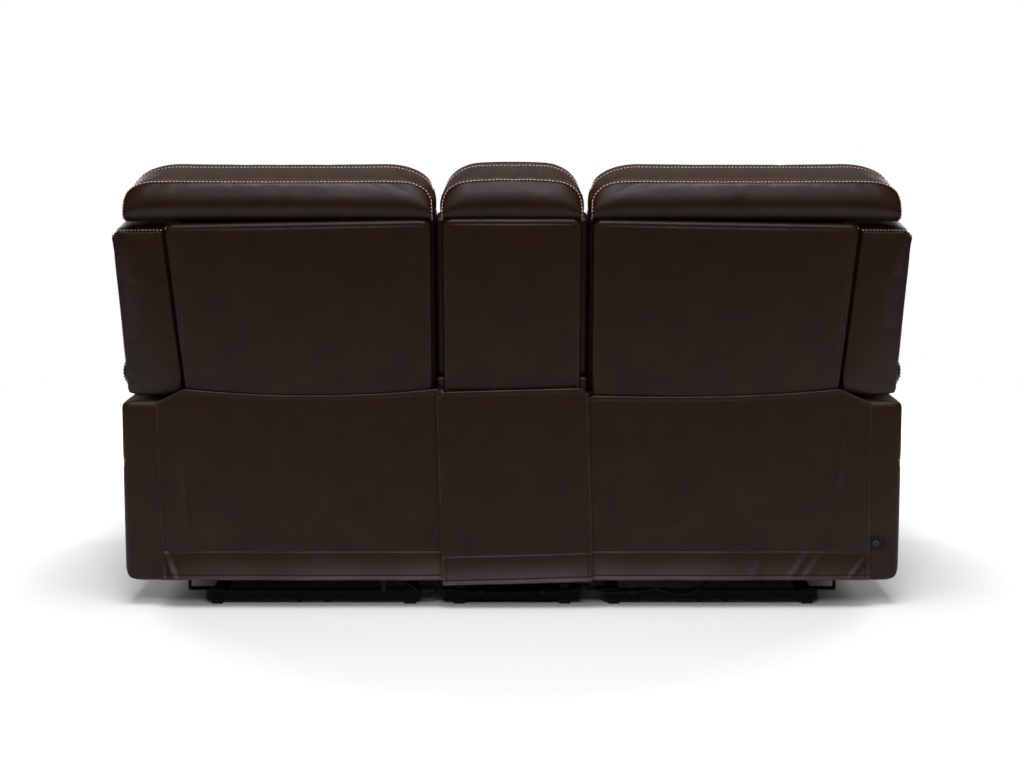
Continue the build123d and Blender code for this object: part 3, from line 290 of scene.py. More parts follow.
# Arm covers: dark brown bonded leather drawn tight over foam on the arm frame and stapled underneath.
# The side has one level seam, and the outer lower edge is rolled over a wadded corner.
ARM_X = (790.4, 939.0)
ARM_Y = (-480.0, 430.0)
ARM_Z = (62.0, 505.0)
ARM_ROUND = 16.0
ARM_ROLL = 34.0
ARM_SEAM_Z = 353.0
ARM_SEAM = (7.0, 2.5)        # how wide and how deep the seam is drawn in
ARM_CROWN = (3.0, 2.5)       # of the outer side and of the front end
ARM_REAR = 0.8               # the rear end is drawn in this much
LEATHER_DEEP = "#180A02"
LEATHER_LIGHT = "#211005"
LEATHER_GRAIN = 2.6          # drawn a little coarser than the real 1.5 mm pebble, so that it shows
LEATHER_MOTTLE = 75.0
LEATHER_CREASE = 22.0
SPARE_LEATHER = 0.002        # share of leather to spare in a tight case, and where it is gathered
GATHERED_LEATHER = 0.02
RIM = 0.99                   # net places past this, of -1 to 1, lie on an outer face


def leather_called(name, deep, light):
    """Bonded leather: a pebbled press grain, cloudy rub-off dye and soft creases under a satin top coat."""
    material, tree, shader, place = finish_called(name, {"Specular IOR Level": 0.19})
    mottle = add(tree, "ShaderNodeTexNoise", {"Vector": place, "Scale": 1000 / LEATHER_MOTTLE, "Detail": 5.0,
                                              "Roughness": 0.62})
    patchy = add(tree, "ShaderNodeMapRange", {0: mottle.outputs["Fac"], 1: 0.34, 2: 0.68})
    dye = add(tree, "ShaderNodeMix", {0: patchy.outputs[0], 6: linear(deep), 7: linear(light)}, data_type="RGBA")
    pebble = add(tree, "ShaderNodeTexVoronoi", {"Vector": place, "Scale": 1000 / LEATHER_GRAIN},
                 feature="SMOOTH_F1")
    crease = add(tree, "ShaderNodeTexNoise", {"Vector": place, "Scale": 1000 / LEATHER_CREASE, "Detail": 3.0,
                                              "Distortion": 0.8})
    drape = add(tree, "ShaderNodeBump", {"Height": crease.outputs["Fac"], "Distance": 0.9 * MM,
                                         "Strength": 0.25})
    grain = add(tree, "ShaderNodeBump", {"Height": pebble.outputs["Distance"], "Distance": 0.35 * MM,
                                         "Strength": 0.25, "Normal": drape.outputs[0]}, invert=True)
    polish = add(tree, "ShaderNodeMapRange", {0: mottle.outputs["Fac"], 1: 0.3, 2: 0.7, 3: 0.46, 4: 0.36})
    tree.links.new(dye.outputs[2], shader.inputs["Base Color"])
    tree.links.new(polish.outputs[0], shader.inputs["Roughness"])
    tree.links.new(grain.outputs[0], shader.inputs["Normal"])
    return material


def shell(name, across, deep, tall, place):
    """A closed form of square mesh with a box's corners; place turns (u, v, w), each -1 to 1, into millimetres."""
    spots = {}
    faces = []

    def at(*key):
        return spots.setdefault(key, len(spots))

    sizes = (across, deep, tall)
    for axis in range(3):
        a, b = [i for i in range(3) if i != axis]
        for end in (0, sizes[axis]):
            for i in range(sizes[a]):
                for j in range(sizes[b]):
                    ring = []
                    for di, dj in ((0, 0), (1, 0), (1, 1), (0, 1)):
                        key = [0, 0, 0]
                        key[axis], key[a], key[b] = end, i + di, j + dj
                        ring.append(at(*key))
                    faces.append(ring)
    lattice = np.array(list(spots), dtype=float)
    uvw = 2 * lattice / np.array(sizes) - 1
    points = place(uvw[:, 0], uvw[:, 1], uvw[:, 2])
    mesh = bpy.data.meshes.new(name)
    mesh.from_pydata((points * MM).tolist(), [], faces)
    form = bmesh.new()
    form.from_mesh(mesh)
    bmesh.ops.recalc_face_normals(form, faces=form.faces)
    form.to_mesh(mesh)
    form.free()
    return placed(name, mesh), uvw, lattice.astype(int)


def rounded(points, low, high, radius):
    """Box points moved onto the same box with rounded edges."""
    low, high = np.array(low) + radius, np.array(high) - radius
    core = np.clip(points, low, high)
    out = points - core
    length = np.linalg.norm(out, axis=1, keepdims=True)
    return np.where(length > 1e-9, core + radius * out / np.maximum(length, 1e-9), points)


def spread(u, v, w, low, high):
    """Even points of a box between two corners."""
    return np.stack([low[i] + (high[i] - low[i]) * (t + 1) / 2 for i, t in enumerate((u, v, w))], axis=1)


def coordinates(mesh):
    """A mesh's points as an array."""
    flat = np.empty(len(mesh.vertices) * 3)
    mesh.vertices.foreach_get("co", flat)
    return flat.reshape(-1, 3)


def stuffed(piece, sewn, swell, cap, gathered=None):
    """Blow a leather case up on its filling with Cloth; sewn points stay, gathered ones have leather to spare."""
    for name, weights in (("sewn", sewn), ("gathered", gathered)):
        group = piece.vertex_groups.new(name=name)
        for index in np.nonzero(weights)[0] if weights is not None else ():
            group.add([int(index)], float(weights[index]), "REPLACE")
    cloth = piece.modifiers.new("filling", "CLOTH")
    cloth.settings.quality = 4
    cloth.settings.mass = 0.3
    cloth.settings.bending_stiffness = 1.5
    cloth.settings.use_pressure = True
    cloth.settings.uniform_pressure_force = swell
    cloth.settings.shrink_min = -SPARE_LEATHER
    cloth.settings.shrink_max = -GATHERED_LEATHER
    cloth.settings.vertex_group_shrink = "gathered"
    cloth.settings.vertex_group_mass = "sewn"
    cloth.settings.effector_weights.gravity = 0
    for step in range(1, 21):
        scene.frame_set(step)
    blown = piece.evaluated_get(bpy.context.evaluated_depsgraph_get())
    start = coordinates(piece.data)
    move = coordinates(blown.data) - start
    length = np.linalg.norm(move, axis=1, keepdims=True)
    move *= np.minimum(1, cap * MM / np.maximum(length, 1e-9))
    piece.modifiers.remove(cloth)
    piece.vertex_groups.clear()
    piece.data.vertices.foreach_set("co", (start + move).ravel())
    piece.data.update()
    scene.frame_set(1)


def covered(mesh, material):
    """Put one material all over a mesh and shade it smooth."""
    mesh.materials.clear()
    mesh.materials.append(material)
    mesh.polygons.foreach_set("use_smooth", np.ones(len(mesh.polygons), dtype=bool))


def smooth_skin(piece, material):
    """Divide a case once more, turn it into plain mesh and put its leather on."""
    finer = piece.modifiers.new("finer", "SUBSURF")
    finer.levels = 1
    finer.render_levels = 1
    made = settled(piece)
    piece.modifiers.clear()
    rough = piece.data
    piece.data = made
    bpy.data.meshes.remove(rough)
    covered(made, material)
    made.name = piece.name


def upholster(piece, body, node):
    """A finished padded piece: it rides on its body and stands for its plain solid."""
    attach(piece, body)
    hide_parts(node)


def arm_form(sign):
    """Points of an arm cover: rounded all over, with a larger roll at its outer lower edge."""
    low = (ARM_X[0], ARM_Y[0], ARM_Z[0])
    high = (ARM_X[1], ARM_Y[1], ARM_Z[1])

    def place(u, v, w):
        points = rounded(spread(u, v, w, low, high), low, high, ARM_ROUND)
        roll = np.array([ARM_X[1] - ARM_ROLL, ARM_Z[0] + ARM_ROLL])
        out = points[:, [0, 2]] - roll
        length = np.linalg.norm(out, axis=1)
        turned = (out[:, 0] > 0) & (out[:, 1] < 0) & (length > ARM_ROLL)
        points[turned, 0] = roll[0] + out[turned, 0] * ARM_ROLL / length[turned]
        points[turned, 2] = roll[1] + out[turned, 1] * ARM_ROLL / length[turned]
        seam = np.exp(-((points[:, 2] - ARM_SEAM_Z) / ARM_SEAM[0]) ** 2) * (u > RIM)
        points[:, 0] -= ARM_SEAM[1] * seam
        points[:, 0] += (u > RIM) * ARM_CROWN[0] * (1 - v ** 4) * (1 - w ** 2)
        points[:, 1] -= np.where(v > RIM, ARM_REAR, 0)
        points[:, 1] -= np.where(v < -RIM, ARM_CROWN[1] * (1 - u ** 2) * (1 - w ** 4), 0)
        points[:, 0] *= sign
        return points

    return place


brown_leather = leather_called("dark_brown_bonded_leather", LEATHER_DEEP, LEATHER_LIGHT)
ARM_COUNTS = (12, 76, 40)
SIDES = (("left", 1), ("right", -1))
arm_seams = {}
for side, sign in SIDES:
    arm, _, key = shell(f"arm_leather_{side}", *ARM_COUNTS, arm_form(sign))
    smooth_skin(arm, brown_leather)
    upholster(arm, "frame", f"arm_cover_{side}")
    arm_seams[side] = arm, key


# Arm pads: thick foam in a leather case that overhangs the arm's outer side in a soft roll.
# Its two end faces are set in as separate panels, with a row of tan thread round each.
PAD_Y = (-480.0, 250.0)
PAD_END_ROUND = 16.0
PAD_END_TURN = 0.75          # how much of a full round the ends take
PAD_MIDDLE = (875.0, 550.0)
PAD_LOW = 505.6
PAD_INNER = [(790.6, 506.0), (790.4, 545.0), (790.6, 590.0)]
PAD_UNDER = [(790.6, 506.0), (865.0, 505.6), (938.0, 506.0)]
PAD_OUTER = [(938.0, 506.0), (957.0, 517.0), (968.0, 536.0), (969.0, 562.0), (960.0, 585.0), (944.0, 595.0)]
PAD_OVER = [(790.6, 590.0), (815.0, 596.5), (868.0, 600.0), (920.0, 599.5), (944.0, 595.0)]
THREAD_TAN = "#BE9985"
THREAD_SHADE = "#8C6450"
THREAD_PLY = 1.2
STITCH_SIZES = {"Pitch": 8.6, "Length": 6.0, "Thickness": 3.0}    # thicker than real 0.9 mm thread, so that it shows
STITCH_LIFT = 0.3
ARM_STITCH_UP = 8.0          # the arm's thread runs this far above its seam


def along_line(line, t):
    """Points at even steps t, -1 to 1, along a bent line in the plane."""
    line = np.array(line, dtype=float)
    run = np.concatenate([[0], np.cumsum(np.linalg.norm(np.diff(line, axis=0), axis=1))])
    s = (t + 1) / 2 * run[-1]
    return np.stack([np.interp(s, run, line[:, i]) for i in (0, 1)], axis=1)


def between(low_side, high_side, low_cross, high_cross, a, b):
    """A patch inside four bent lines: a runs along the first two, b along the last two."""
    a, b = a[:, None], b[:, None]
    low_line, high_line = along_line(low_side, a[:, 0]), along_line(high_side, a[:, 0])
    start, end = along_line(low_cross, b[:, 0]), along_line(high_cross, b[:, 0])
    corners = [np.array(line[i], dtype=float) for line in (low_side, high_side) for i in (0, -1)]
    ruled = (1 - b) / 2 * low_line + (1 + b) / 2 * high_line + (1 - a) / 2 * start + (1 + a) / 2 * end
    flat = ((1 - a) * (1 - b) * corners[0] + (1 + a) * (1 - b) * corners[1]
            + (1 - a) * (1 + b) * corners[2] + (1 + a) * (1 + b) * corners[3]) / 4
    return ruled - flat


def stitch_tree(material):
    """Geometry nodes that set one short thread at every pitch along a curve."""
    tree = bpy.data.node_groups.new("thread_row", "GeometryNodeTree")
    tree.interface.new_socket("Seam", in_out="INPUT", socket_type="NodeSocketGeometry")
    for size in STITCH_SIZES:
        tree.interface.new_socket(size, in_out="INPUT", socket_type="NodeSocketFloat")
    tree.interface.new_socket("Threads", in_out="OUTPUT", socket_type="NodeSocketGeometry")
    given = add(tree, "NodeGroupInput").outputs
    row = add(tree, "GeometryNodeCurveToPoints", {"Curve": given["Seam"], "Length": given["Pitch"]},
              mode="LENGTH")
    bead = add(tree, "GeometryNodeMeshUVSphere", {"Segments": 6, "Rings": 5, "Radius": 0.5})
    form = add(tree, "ShaderNodeCombineXYZ", {0: given["Thickness"], 1: given["Thickness"], 2: given["Length"]})
    threads = add(tree, "GeometryNodeInstanceOnPoints",
                  {"Points": row.outputs["Points"], "Instance": bead.outputs[0],
                   "Rotation": row.outputs["Rotation"], "Scale": form.outputs[0]})
    real = add(tree, "GeometryNodeRealizeInstances", {0: threads.outputs[0]})
    spun = add(tree, "GeometryNodeSetMaterial", {0: real.outputs[0], "Material": material})
    add(tree, "NodeGroupOutput", {0: spun.outputs[0]})
    return tree


# spun polyester: two plies twisted together, which gives two tones and a dull silky shine
tan_thread, _, _, _ = mottled("tan_polyester_thread", THREAD_PLY, 2.0, THREAD_SHADE, THREAD_TAN,
                              {"Roughness": 0.6, "Sheen Weight": 0.3})
tan_row = stitch_tree(tan_thread)


def strung(name, rows, closed):
    """A curve that runs straight from point to point along each row of points, in metres."""
    line = bpy.data.curves.new(name, "CURVE")
    line.dimensions = "3D"
    for row in rows:
        spline = line.splines.new("POLY")
        spline.points.add(len(row) - 1)
        for point, at in zip(spline.points, row):
            point.co = (*at, 1)
        spline.use_cyclic_u = closed
    return placed(name + "_line", line)


def stitched(name, body, rows):
    """Rows of tan thread along lists of points, as one plain mesh that rides on a body."""
    sewing = strung(name, rows, False)
    made = made_by(tan_row, sewing, STITCH_SIZES)
    bpy.data.objects.remove(sewing)
    made.name = name
    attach(placed(name, made), body)


def row_on(piece, key, wanted, lift=STITCH_LIFT):
    """Points of a finished case at the named mesh keys, lifted just off its leather."""
    order = {tuple(k): i for i, k in enumerate(key)}
    points = []
    for spot in wanted:
        vertex = piece.data.vertices[order[tuple(spot)]]
        points.append(vertex.co + vertex.normal * lift * MM)
    return points


def pad_form(sign):
    """Points of an arm pad: its section drawn in a little at both ends."""

    def place(u, v, w):
        section = between(PAD_UNDER, PAD_OVER, PAD_INNER, PAD_OUTER, u, w)
        y = PAD_Y[0] + (PAD_Y[1] - PAD_Y[0]) * (v + 1) / 2
        near = np.clip((PAD_END_ROUND - np.minimum(y - PAD_Y[0], PAD_Y[1] - y)) / PAD_END_ROUND, 0, 1)
        drawn = PAD_END_ROUND * (1 - np.sqrt(1 - PAD_END_TURN * near ** 2))
        middle = np.array(PAD_MIDDLE)
        way = section - middle
        scale = 1 - drawn[:, None] / np.maximum(np.linalg.norm(way, axis=1, keepdims=True), 20)
        section = middle + way * np.minimum(scale, 1)
        section[:, 1] = np.maximum(section[:, 1], PAD_LOW)
        return np.stack([sign * section[:, 0], y, section[:, 1]], axis=1)

    return place


PAD_COUNTS = (14, 50, 10)
for side, sign in SIDES:
    pad, uvw, key = shell(f"arm_pad_leather_{side}", *PAD_COUNTS, pad_form(sign))
    ends = (np.abs(uvw[:, 1]) > RIM) & ((np.abs(uvw[:, [0, 2]]) > RIM).any(axis=1))
    under = uvw[:, 2] < -RIM
    stuffed(pad, ends | under, swell=4.0, cap=8)
    smooth_skin(pad, brown_leather)
    upholster(pad, "frame", f"arm_pad_{side}")
    a, b, c = PAD_COUNTS
    loops = []
    for inside in (1, b - 1):
        loop = [(0, inside, k) for k in range(c + 1)] + [(i, inside, c) for i in range(1, a + 1)]
        loop += [(a, inside, k) for k in range(c - 1, -1, -1)]
        loops.append(row_on(pad, key, loop))
    arm, arm_key = arm_seams[side]
    a, b, c = ARM_COUNTS
    level = round((ARM_SEAM_Z + ARM_STITCH_UP - ARM_Z[0]) / (ARM_Z[1] - ARM_Z[0]) * c)
    seam = [(a, j, level) for j in range(b + 1)]
    stitched(f"arm_pad_stitches_{side}", "frame", loops + [row_on(arm, arm_key, seam)])


# Rear skirts: leather flaps that hang from the rear rail over the mechanism, with bound edges and a deep hem.
# The side skirts are fixed to the backs along their top edge; here they are baked in place, ride on no body and do
# not move as a back reclines.
SKIRT_Y = 432.5
SKIRT_LOW = 72.0
SKIRT_TOP = 528.0
SKIRT_TALL = SKIRT_TOP - SKIRT_LOW
SKIRT_IN = 177.0
SKIRT_SHEET = 2.0
SKIRT_ENDS = 4.0             # a side skirt's top stands this much over the rest at its ends
SKIRT_SAG = 16.1             # and sags this much between the inner end and the next place
SKIRT_SAG_END = 790.0
SKIRT_SLOPE = (785.0, 33.0)  # where the top begins to slope down, and by how much at the outer corner
SKIRT_WAVE = 1.3
FOLD_RIDGE = 1.3
FOLD_VALLEY = 0.5
FOLD_FADE = 0.25             # share of a crease's length in which it fades at each end
HEM_TALL = 66.0
HEM_KICK = 19.0
HEM_SEAM = (2.6, 1.6)        # how wide and how deep a sewn line is
EDGE_SEAM = (1.6, 1.0)
EDGE_TURN = 7.0              # sewn line, in from a turned edge
MIDDLE_Y = 440.0
MIDDLE_HALF = 180.0
MIDDLE_LOW = 60.0
MIDDLE_ASKEW = 10.0          # one end of the middle skirt hangs this much lower
MIDDLE_LEAN = 14.0
MIDDLE_CORNER = (19.0, 15.0)
BINDING = 3.6
# The binding's two tones are lighter than the sheet's leather: partly its own edge paint, partly a painted highlight
# where the rolled edge catches light.
BINDING_LIT_DEEP = "#1F120B"
BINDING_LIT_LIGHT = "#37261C"

binding_edge_paint_and_highlight = leather_called("brown_leather_binding_edge_paint_and_highlight", BINDING_LIT_DEEP, BINDING_LIT_LIGHT)


def net_lines(*spans):
    """Places of a net's lines; each span gives where it ends and the step between its lines."""
    places = [0.0]
    for end, step in spans:
        count = max(1, round((end - places[-1]) / step))
        places += list(np.linspace(places[-1], end, count + 1)[1:])
    return np.array(places)


def fold(x, z, line, deep, wide, low, high):
    """One crease along a slanting line, from height low to high: a valley with a soft ridge beside it."""
    away = (x - line[0] - (line[1] - line[0]) * (z - low) / (high - low)) / wide
    ends = [np.clip(gap / FOLD_FADE / (high - low), 0, 1) for gap in (z - low, high - z)]
    return deep * ends[0] * ends[1] * (FOLD_RIDGE * np.exp(-(away - 1.2) ** 2) - FOLD_VALLEY * np.exp(-away ** 2))


def turned_edge(gap):
    """The shallow sewn line that follows a turned edge at some distance from it."""
    return -EDGE_SEAM[1] * np.exp(-((gap - EDGE_TURN) / EDGE_SEAM[0]) ** 2)


def hung(name, columns, rows, place):
    """A leather sheet on a net of lines, each list from 0 to 1, thickened towards the front, and its edge."""
    s, t = np.meshgrid(columns, rows)
    points = place(s.ravel(), t.ravel()) * MM
    width = len(columns)
    faces = [(j * width + i, (j + 1) * width + i, (j + 1) * width + i + 1, j * width + i + 1)
             for j in range(len(rows) - 1) for i in range(width - 1)]
    mesh = bpy.data.meshes.new(name)
    mesh.from_pydata(points.tolist(), [], faces)
    form = bmesh.new()
    form.from_mesh(mesh)
    form.normal_update()
    if sum(face.normal.y for face in form.faces) < 0:
        bmesh.ops.reverse_faces(form, faces=form.faces)
    form.to_mesh(mesh)
    form.free()
    sheet = placed(name, mesh)
    thick = sheet.modifiers.new("thickness", "SOLIDIFY")
    thick.thickness = SKIRT_SHEET * MM
    thick.offset = -1
    smooth_skin(sheet, brown_leather)
    grid = points.reshape(len(rows), width, 3)
    return sheet, [*grid[::-1, 0], *grid[0, 1:], *grid[1:, -1], *grid[-1, -2:0:-1]]


def bound(name, edge):
    """A folded leather strip sewn round a skirt's edge, in lighter leather: partly edge paint, partly a painted
    highlight on the rolled edge.
    """
    strip = strung(name, [edge], True)
    strip.data.bevel_depth = BINDING / 2 * MM
    strip.data.bevel_resolution = 2
    made = settled(strip)
    bpy.data.objects.remove(strip)
    made.name = name
    covered(made, binding_edge_paint_and_highlight)
    return placed(name, made)


def hem_swell(z, low):
    """How far the stiff doubled hem kicks out below its seam, with sewn lines at its top and near its foot."""
    up = np.clip((z - low) / HEM_TALL, 0, 2)
    kick = HEM_KICK * np.clip(1 - up, 0, 1) ** 1.5
    return kick - HEM_SEAM[1] * np.exp(-((up - 1) * HEM_TALL / HEM_SEAM[0]) ** 2) + turned_edge(z - low)


# each crease: x at its foot and top, depth, width, and the heights between which it runs
LEFT_FOLDS = [((779, 776), 4.0, 7, 190, 440), ((222, 214), 2.4, 12, 200, 460), ((250, 236), 1.6, 16, 180, 450),
              ((805, 838), 2.6, 7, 66, 150), ((690, 640), 1.4, 40, 150, 500)]
RIGHT_FOLDS = [((776, 783), 4.0, 7, 280, 470), ((655, 715), 0.8, 11, 66, 150), ((690, 745), 0.6, 12, 66, 146),
               ((800, 858), 1.0, 8, 66, 136), ((855, 815), 0.9, 8, 66, 140), ((560, 600), 0.5, 16, 66, 150),
               ((240, 225), 1.8, 14, 180, 450), ((330, 360), 1.2, 50, 140, 500)]


def side_skirt(sign, outer, flare, lean, dip, folds):
    """Points of a side skirt: a sagging top that dips at its inner end, a sloped outer corner and a stiff hem."""

    def place(s, t):
        x_out = outer + flare * t
        x_in = SKIRT_IN + lean * (1 - t)
        x = x_in + (x_out - x_in) * s
        outward = np.clip((x - SKIRT_IN) / (SKIRT_SAG_END - SKIRT_IN), 0, 1)
        top = SKIRT_TOP + SKIRT_ENDS - 4 * SKIRT_SAG * outward * (1 - outward)
        top = top - dip * ((1 - outward) ** 3 + 0.8 * np.clip(1 - (x - x_in) / 18, 0, 1))
        top = top - SKIRT_SLOPE[1] * np.clip((x - SKIRT_SLOPE[0]) / (outer + flare - SKIRT_SLOPE[0]), 0, 1)
        z = SKIRT_LOW + (top - SKIRT_LOW) * t
        y = SKIRT_Y + 2.5 * np.sin(np.pi * outward) * (1 - t) + hem_swell(z, SKIRT_LOW)
        y = y + turned_edge(np.minimum(x - x_in, x_out - x)) + turned_edge(top - z)
        for line, deep, wide, low, high in folds:
            y = y + fold(x, z, line, deep, wide, low, high)
        y = y + SKIRT_WAVE * np.sin(x / 41.0 + 2 * np.sin(z / 60.0)) * (1 - t) ** 2
        return np.stack([sign * x, y, z], axis=1)

    return place


def middle_skirt(s, t):
    """Points of the middle skirt, which laps over the side skirts and hangs a little askew."""
    low = MIDDLE_LOW + MIDDLE_ASKEW * (1 - s)
    x = MIDDLE_HALF * (2 * s - 1) - MIDDLE_LEAN * (1 - t)
    side = MIDDLE_HALF * (1 - np.abs(2 * s - 1))
    top = SKIRT_TOP - 3 + MIDDLE_ASKEW * (1 - s) - MIDDLE_CORNER[1] * np.clip(1 - side / MIDDLE_CORNER[0], 0, 1)
    z = low + (top - low) * t
    y = MIDDLE_Y + 2 * np.sin(np.pi * s) * (1 - t) + hem_swell(z, low)
    y = y + turned_edge(side) + turned_edge(top - z)
    y = y + fold(x, z, (-120, -150), 1.6, 14, 120, 480) + fold(x, z, (130, 150), 1.6, 14, 120, 480)
    return np.stack([x, y, z], axis=1)


def skirt_declared(node):
    """A skirt is a hung sheet with its binding."""
    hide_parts(node)


SIDE_WIDE = 666
SKIRT_ROWS = net_lines((16, 2), (56, 4), (76, 2), (SKIRT_TALL - 16, 6), (SKIRT_TALL, 2)) / SKIRT_TALL
SIDE_COLUMNS = net_lines((12, 2), (SIDE_WIDE - 12, 6), (SIDE_WIDE, 2)) / SIDE_WIDE
MIDDLE_COLUMNS = net_lines((12, 2), (2 * MIDDLE_HALF - 12, 6), (2 * MIDDLE_HALF, 2)) / (2 * MIDDLE_HALF)
for side, form_of, flat, area in (("left", side_skirt(1, 843, 10, -11, 0, LEFT_FOLDS), (0.676, 0.456), 0.298),
                                  ("right", side_skirt(-1, 864, -4, 15, 16, RIGHT_FOLDS), (0.687, 0.456), 0.305)):
    sheet, edge = hung(f"skirt_leather_{side}", SIDE_COLUMNS, SKIRT_ROWS, form_of)
    trim = bound(f"skirt_binding_{side}", edge)
    for piece in (sheet, trim):
        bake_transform(piece)
    skirt_declared(f"skirt_{side}")
sheet, edge = hung("skirt_leather_center", MIDDLE_COLUMNS, SKIRT_ROWS, middle_skirt)
trim = bound("skirt_binding_center", edge)
for piece in (sheet, trim):
    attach(piece, "frame")
skirt_declared("skirt_center")


# Power inlet: a black moulded plate let into the right arm's rear, with a round low-voltage jack.
# The jack is a press fit in the plate, with a nickel centre pin.
JACK_BLACK = "#1B1B1C"
FLOW_MARK = 5.0              # faint marks where the nylon flowed in its mould

jack_plastic, tree, shader, place = finish_called("polished_black_nylon", {"Base Color": linear(JACK_BLACK)})
mould = add(tree, "ShaderNodeTexNoise", {"Vector": place, "Scale": 1000 / FLOW_MARK, "Detail": 2.0})
sheen = add(tree, "ShaderNodeMapRange", {0: mould.outputs["Fac"], 3: 0.18, 4: 0.32})
tree.links.new(sheen.outputs[0], shader.inputs["Roughness"])
wear(jack_plastic, "inlet_jack")


# Console box: a plywood box with a storage bin, wrapped in the same leather over thin foam.
# The wrap is drawn round soft edges and tucked into the bin and the cup holes.
WRAP_NET = 6.0
WRAP_EASE = 5                # passes that ease its edges

wrap = placed("console_leather", nodes["console_box"].data.copy())
form = bmesh.new()
form.from_mesh(wrap.data)
bmesh.ops.remove_doubles(form, verts=form.verts, dist=0.01 * MM)
form.to_mesh(wrap.data)
form.free()
remade = wrap.modifiers.new("even_net", "REMESH")
remade.mode = "VOXEL"
remade.voxel_size = WRAP_NET * MM
eased = wrap.modifiers.new("eased_edges", "SMOOTH")
eased.iterations = WRAP_EASE
made = settled(wrap)
wrap.modifiers.clear()
wrap.data = made
covered(made, brown_leather)
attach(wrap, "frame")
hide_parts("console_box")


# Cup holders: spun stainless steel liners dropped into the console top, with a rolled rim.
# The spinning leaves fine rings, which spread the highlight round the bore.
STAINLESS = "#A9A7A2"
RINGS = 300.0                # gives rings about 1 mm apart, drawn coarser than real ones so that they show

stainless, tree, shader, place = finish_called("spun_stainless_steel", {"Base Color": linear(STAINLESS),
                                                                        "Metallic": 1.0, "Roughness": 0.28})
rings = add(tree, "ShaderNodeTexWave", {"Vector": place, "Scale": RINGS, "Distortion": 0.4, "Detail": 1.0},
            wave_type="BANDS", bands_direction="Z")
turned = add(tree, "ShaderNodeBump", {"Height": rings.outputs["Fac"], "Distance": 0.03 * MM, "Strength": 0.4})
tree.links.new(turned.outputs[0], shader.inputs["Normal"])
wear(stainless, "cup_liners")


# Console lid: a plywood board padded with foam under crowned leather, hinged at its rear edge.
# Each steel knuckle is screwed to the board's underside and turns on the hinge pin.
LID_LOW = (-179.6, -92.0, 560.6)
LID_HIGH = (179.6, 212.0, 612.0)
LID_CROWN = 9.0
LID_ROUND = 14.0
LID_COUNTS = (36, 30, 8)
KNUCKLE = (226.0, 567.3)
KNUCKLE_ROUND = 7.0
KNUCKLE_X = (-90.0, 90.0)
KNUCKLE_HALF = 20.0
KNUCKLE_ROOT = 205.0
KNUCKLE_STEPS = 16


def lid_form(u, v, w):
    """Points of the lid: rounded upper edges and a crowned top."""
    points = rounded(spread(u, v, w, LID_LOW, LID_HIGH), LID_LOW, LID_HIGH, LID_ROUND)
    points[:, 2] += LID_CROWN * (1 - u ** 2) * (1 - v ** 2) * (w > RIM)
    return points


lid, uvw, key = shell("console_lid_leather", *LID_COUNTS, lid_form)
edge = (np.abs(uvw) > RIM).sum(axis=1) > 1
stuffed(lid, edge | (uvw[:, 2] < -RIM), swell=3.0, cap=5)
smooth_skin(lid, brown_leather)
upholster(lid, "lid", "console_lid")
a, b, c = LID_COUNTS
loop = [(0, j, c - 1) for j in range(b + 1)] + [(i, b, c - 1) for i in range(1, a + 1)]
loop += [(a, j, c - 1) for j in range(b - 1, -1, -1)] + [(i, 0, c - 1) for i in range(a - 1, -1, -1)]
stitched("console_lid_stitches", "lid", [row_on(lid, key, loop)])

form = bmesh.new()
for middle in KNUCKLE_X:
    rim = []
    for x in (middle - KNUCKLE_HALF, middle + KNUCKLE_HALF):
        turns = [math.radians(-90 + 180 * step / KNUCKLE_STEPS) for step in range(KNUCKLE_STEPS + 1)]
        ring = [(x, KNUCKLE[0] + KNUCKLE_ROUND * math.cos(turn), KNUCKLE[1] + KNUCKLE_ROUND * math.sin(turn))
                for turn in turns]
        ring += [(x, KNUCKLE_ROOT, KNUCKLE[1] + KNUCKLE_ROUND), (x, KNUCKLE_ROOT, KNUCKLE[1] - KNUCKLE_ROUND)]
        rim.append([form.verts.new(Vector(p) * MM) for p in ring])
    for i in range(len(rim[0])):
        j = (i + 1) % len(rim[0])
        form.faces.new((rim[0][i], rim[0][j], rim[1][j], rim[1][i]))
    form.faces.new(rim[0])
    form.faces.new(rim[1][::-1])
bmesh.ops.recalc_face_normals(form, faces=form.faces)
mesh = bpy.data.meshes.new("console_lid_knuckles")
form.to_mesh(mesh)
form.free()
mesh.materials.append(powder_coat)
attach(placed("console_lid_knuckles", mesh), "lid")


# Outside back panels: leather over a thin board with a layer of wadding, hooked on the back's stiles.
# A narrow band is sewn round the face, so a sharp seam runs just inside the rolled top and side edges.
PIVOT_Y = 396.0
PIVOT_Z = 505.0
LEAN = math.radians(7.8)
PANEL_FRONT = 12.5
PANEL_REAR = 26.0
PANEL_CROWN = 4.5
PANEL_LOW = 6.5
PANEL_TOP = 432.0
PANEL_RISE = 12.0            # the top edge climbs this much towards the console
CONSOLE_PANEL_TOP = 447.0
PANEL_BAND = 13.0            # seam, in from the panel's edge
PANEL_SEAM = (2.2, 1.3)      # how wide and how deep the seam is drawn in
PANEL_ROLL = 13.0
PANEL_CORNER = 22.0
PANEL_SWELL = 26.0           # the face rises to its crown over about this much from the seam
PANEL_PUCKER = (0.7, 14.0)   # how deep the puckers below the top seam are, and how far they run down
PANEL_X = (190.0, 784.0, 819.0)              # inner edge, outer edge at the foot and at the top
CONSOLE_PANEL_X = (-165.0, 165.0, 165.0)
CONSOLE_PANEL_LOW = 20.5


def leaned(x, y, z):
    """Points drawn upright from the recline pivot, set at the back's lean."""
    return np.stack([x, PIVOT_Y + y * math.cos(LEAN) + z * math.sin(LEAN),
                     PIVOT_Z - y * math.sin(LEAN) + z * math.cos(LEAN)], axis=1)


def lined(t, lines):
    """Even net places, -1 to 1, moved onto uneven lines and given as a share, -1 to 1."""
    return 2 * np.interp((t + 1) / 2 * (len(lines) - 1), np.arange(len(lines)), lines) / lines[-1] - 1


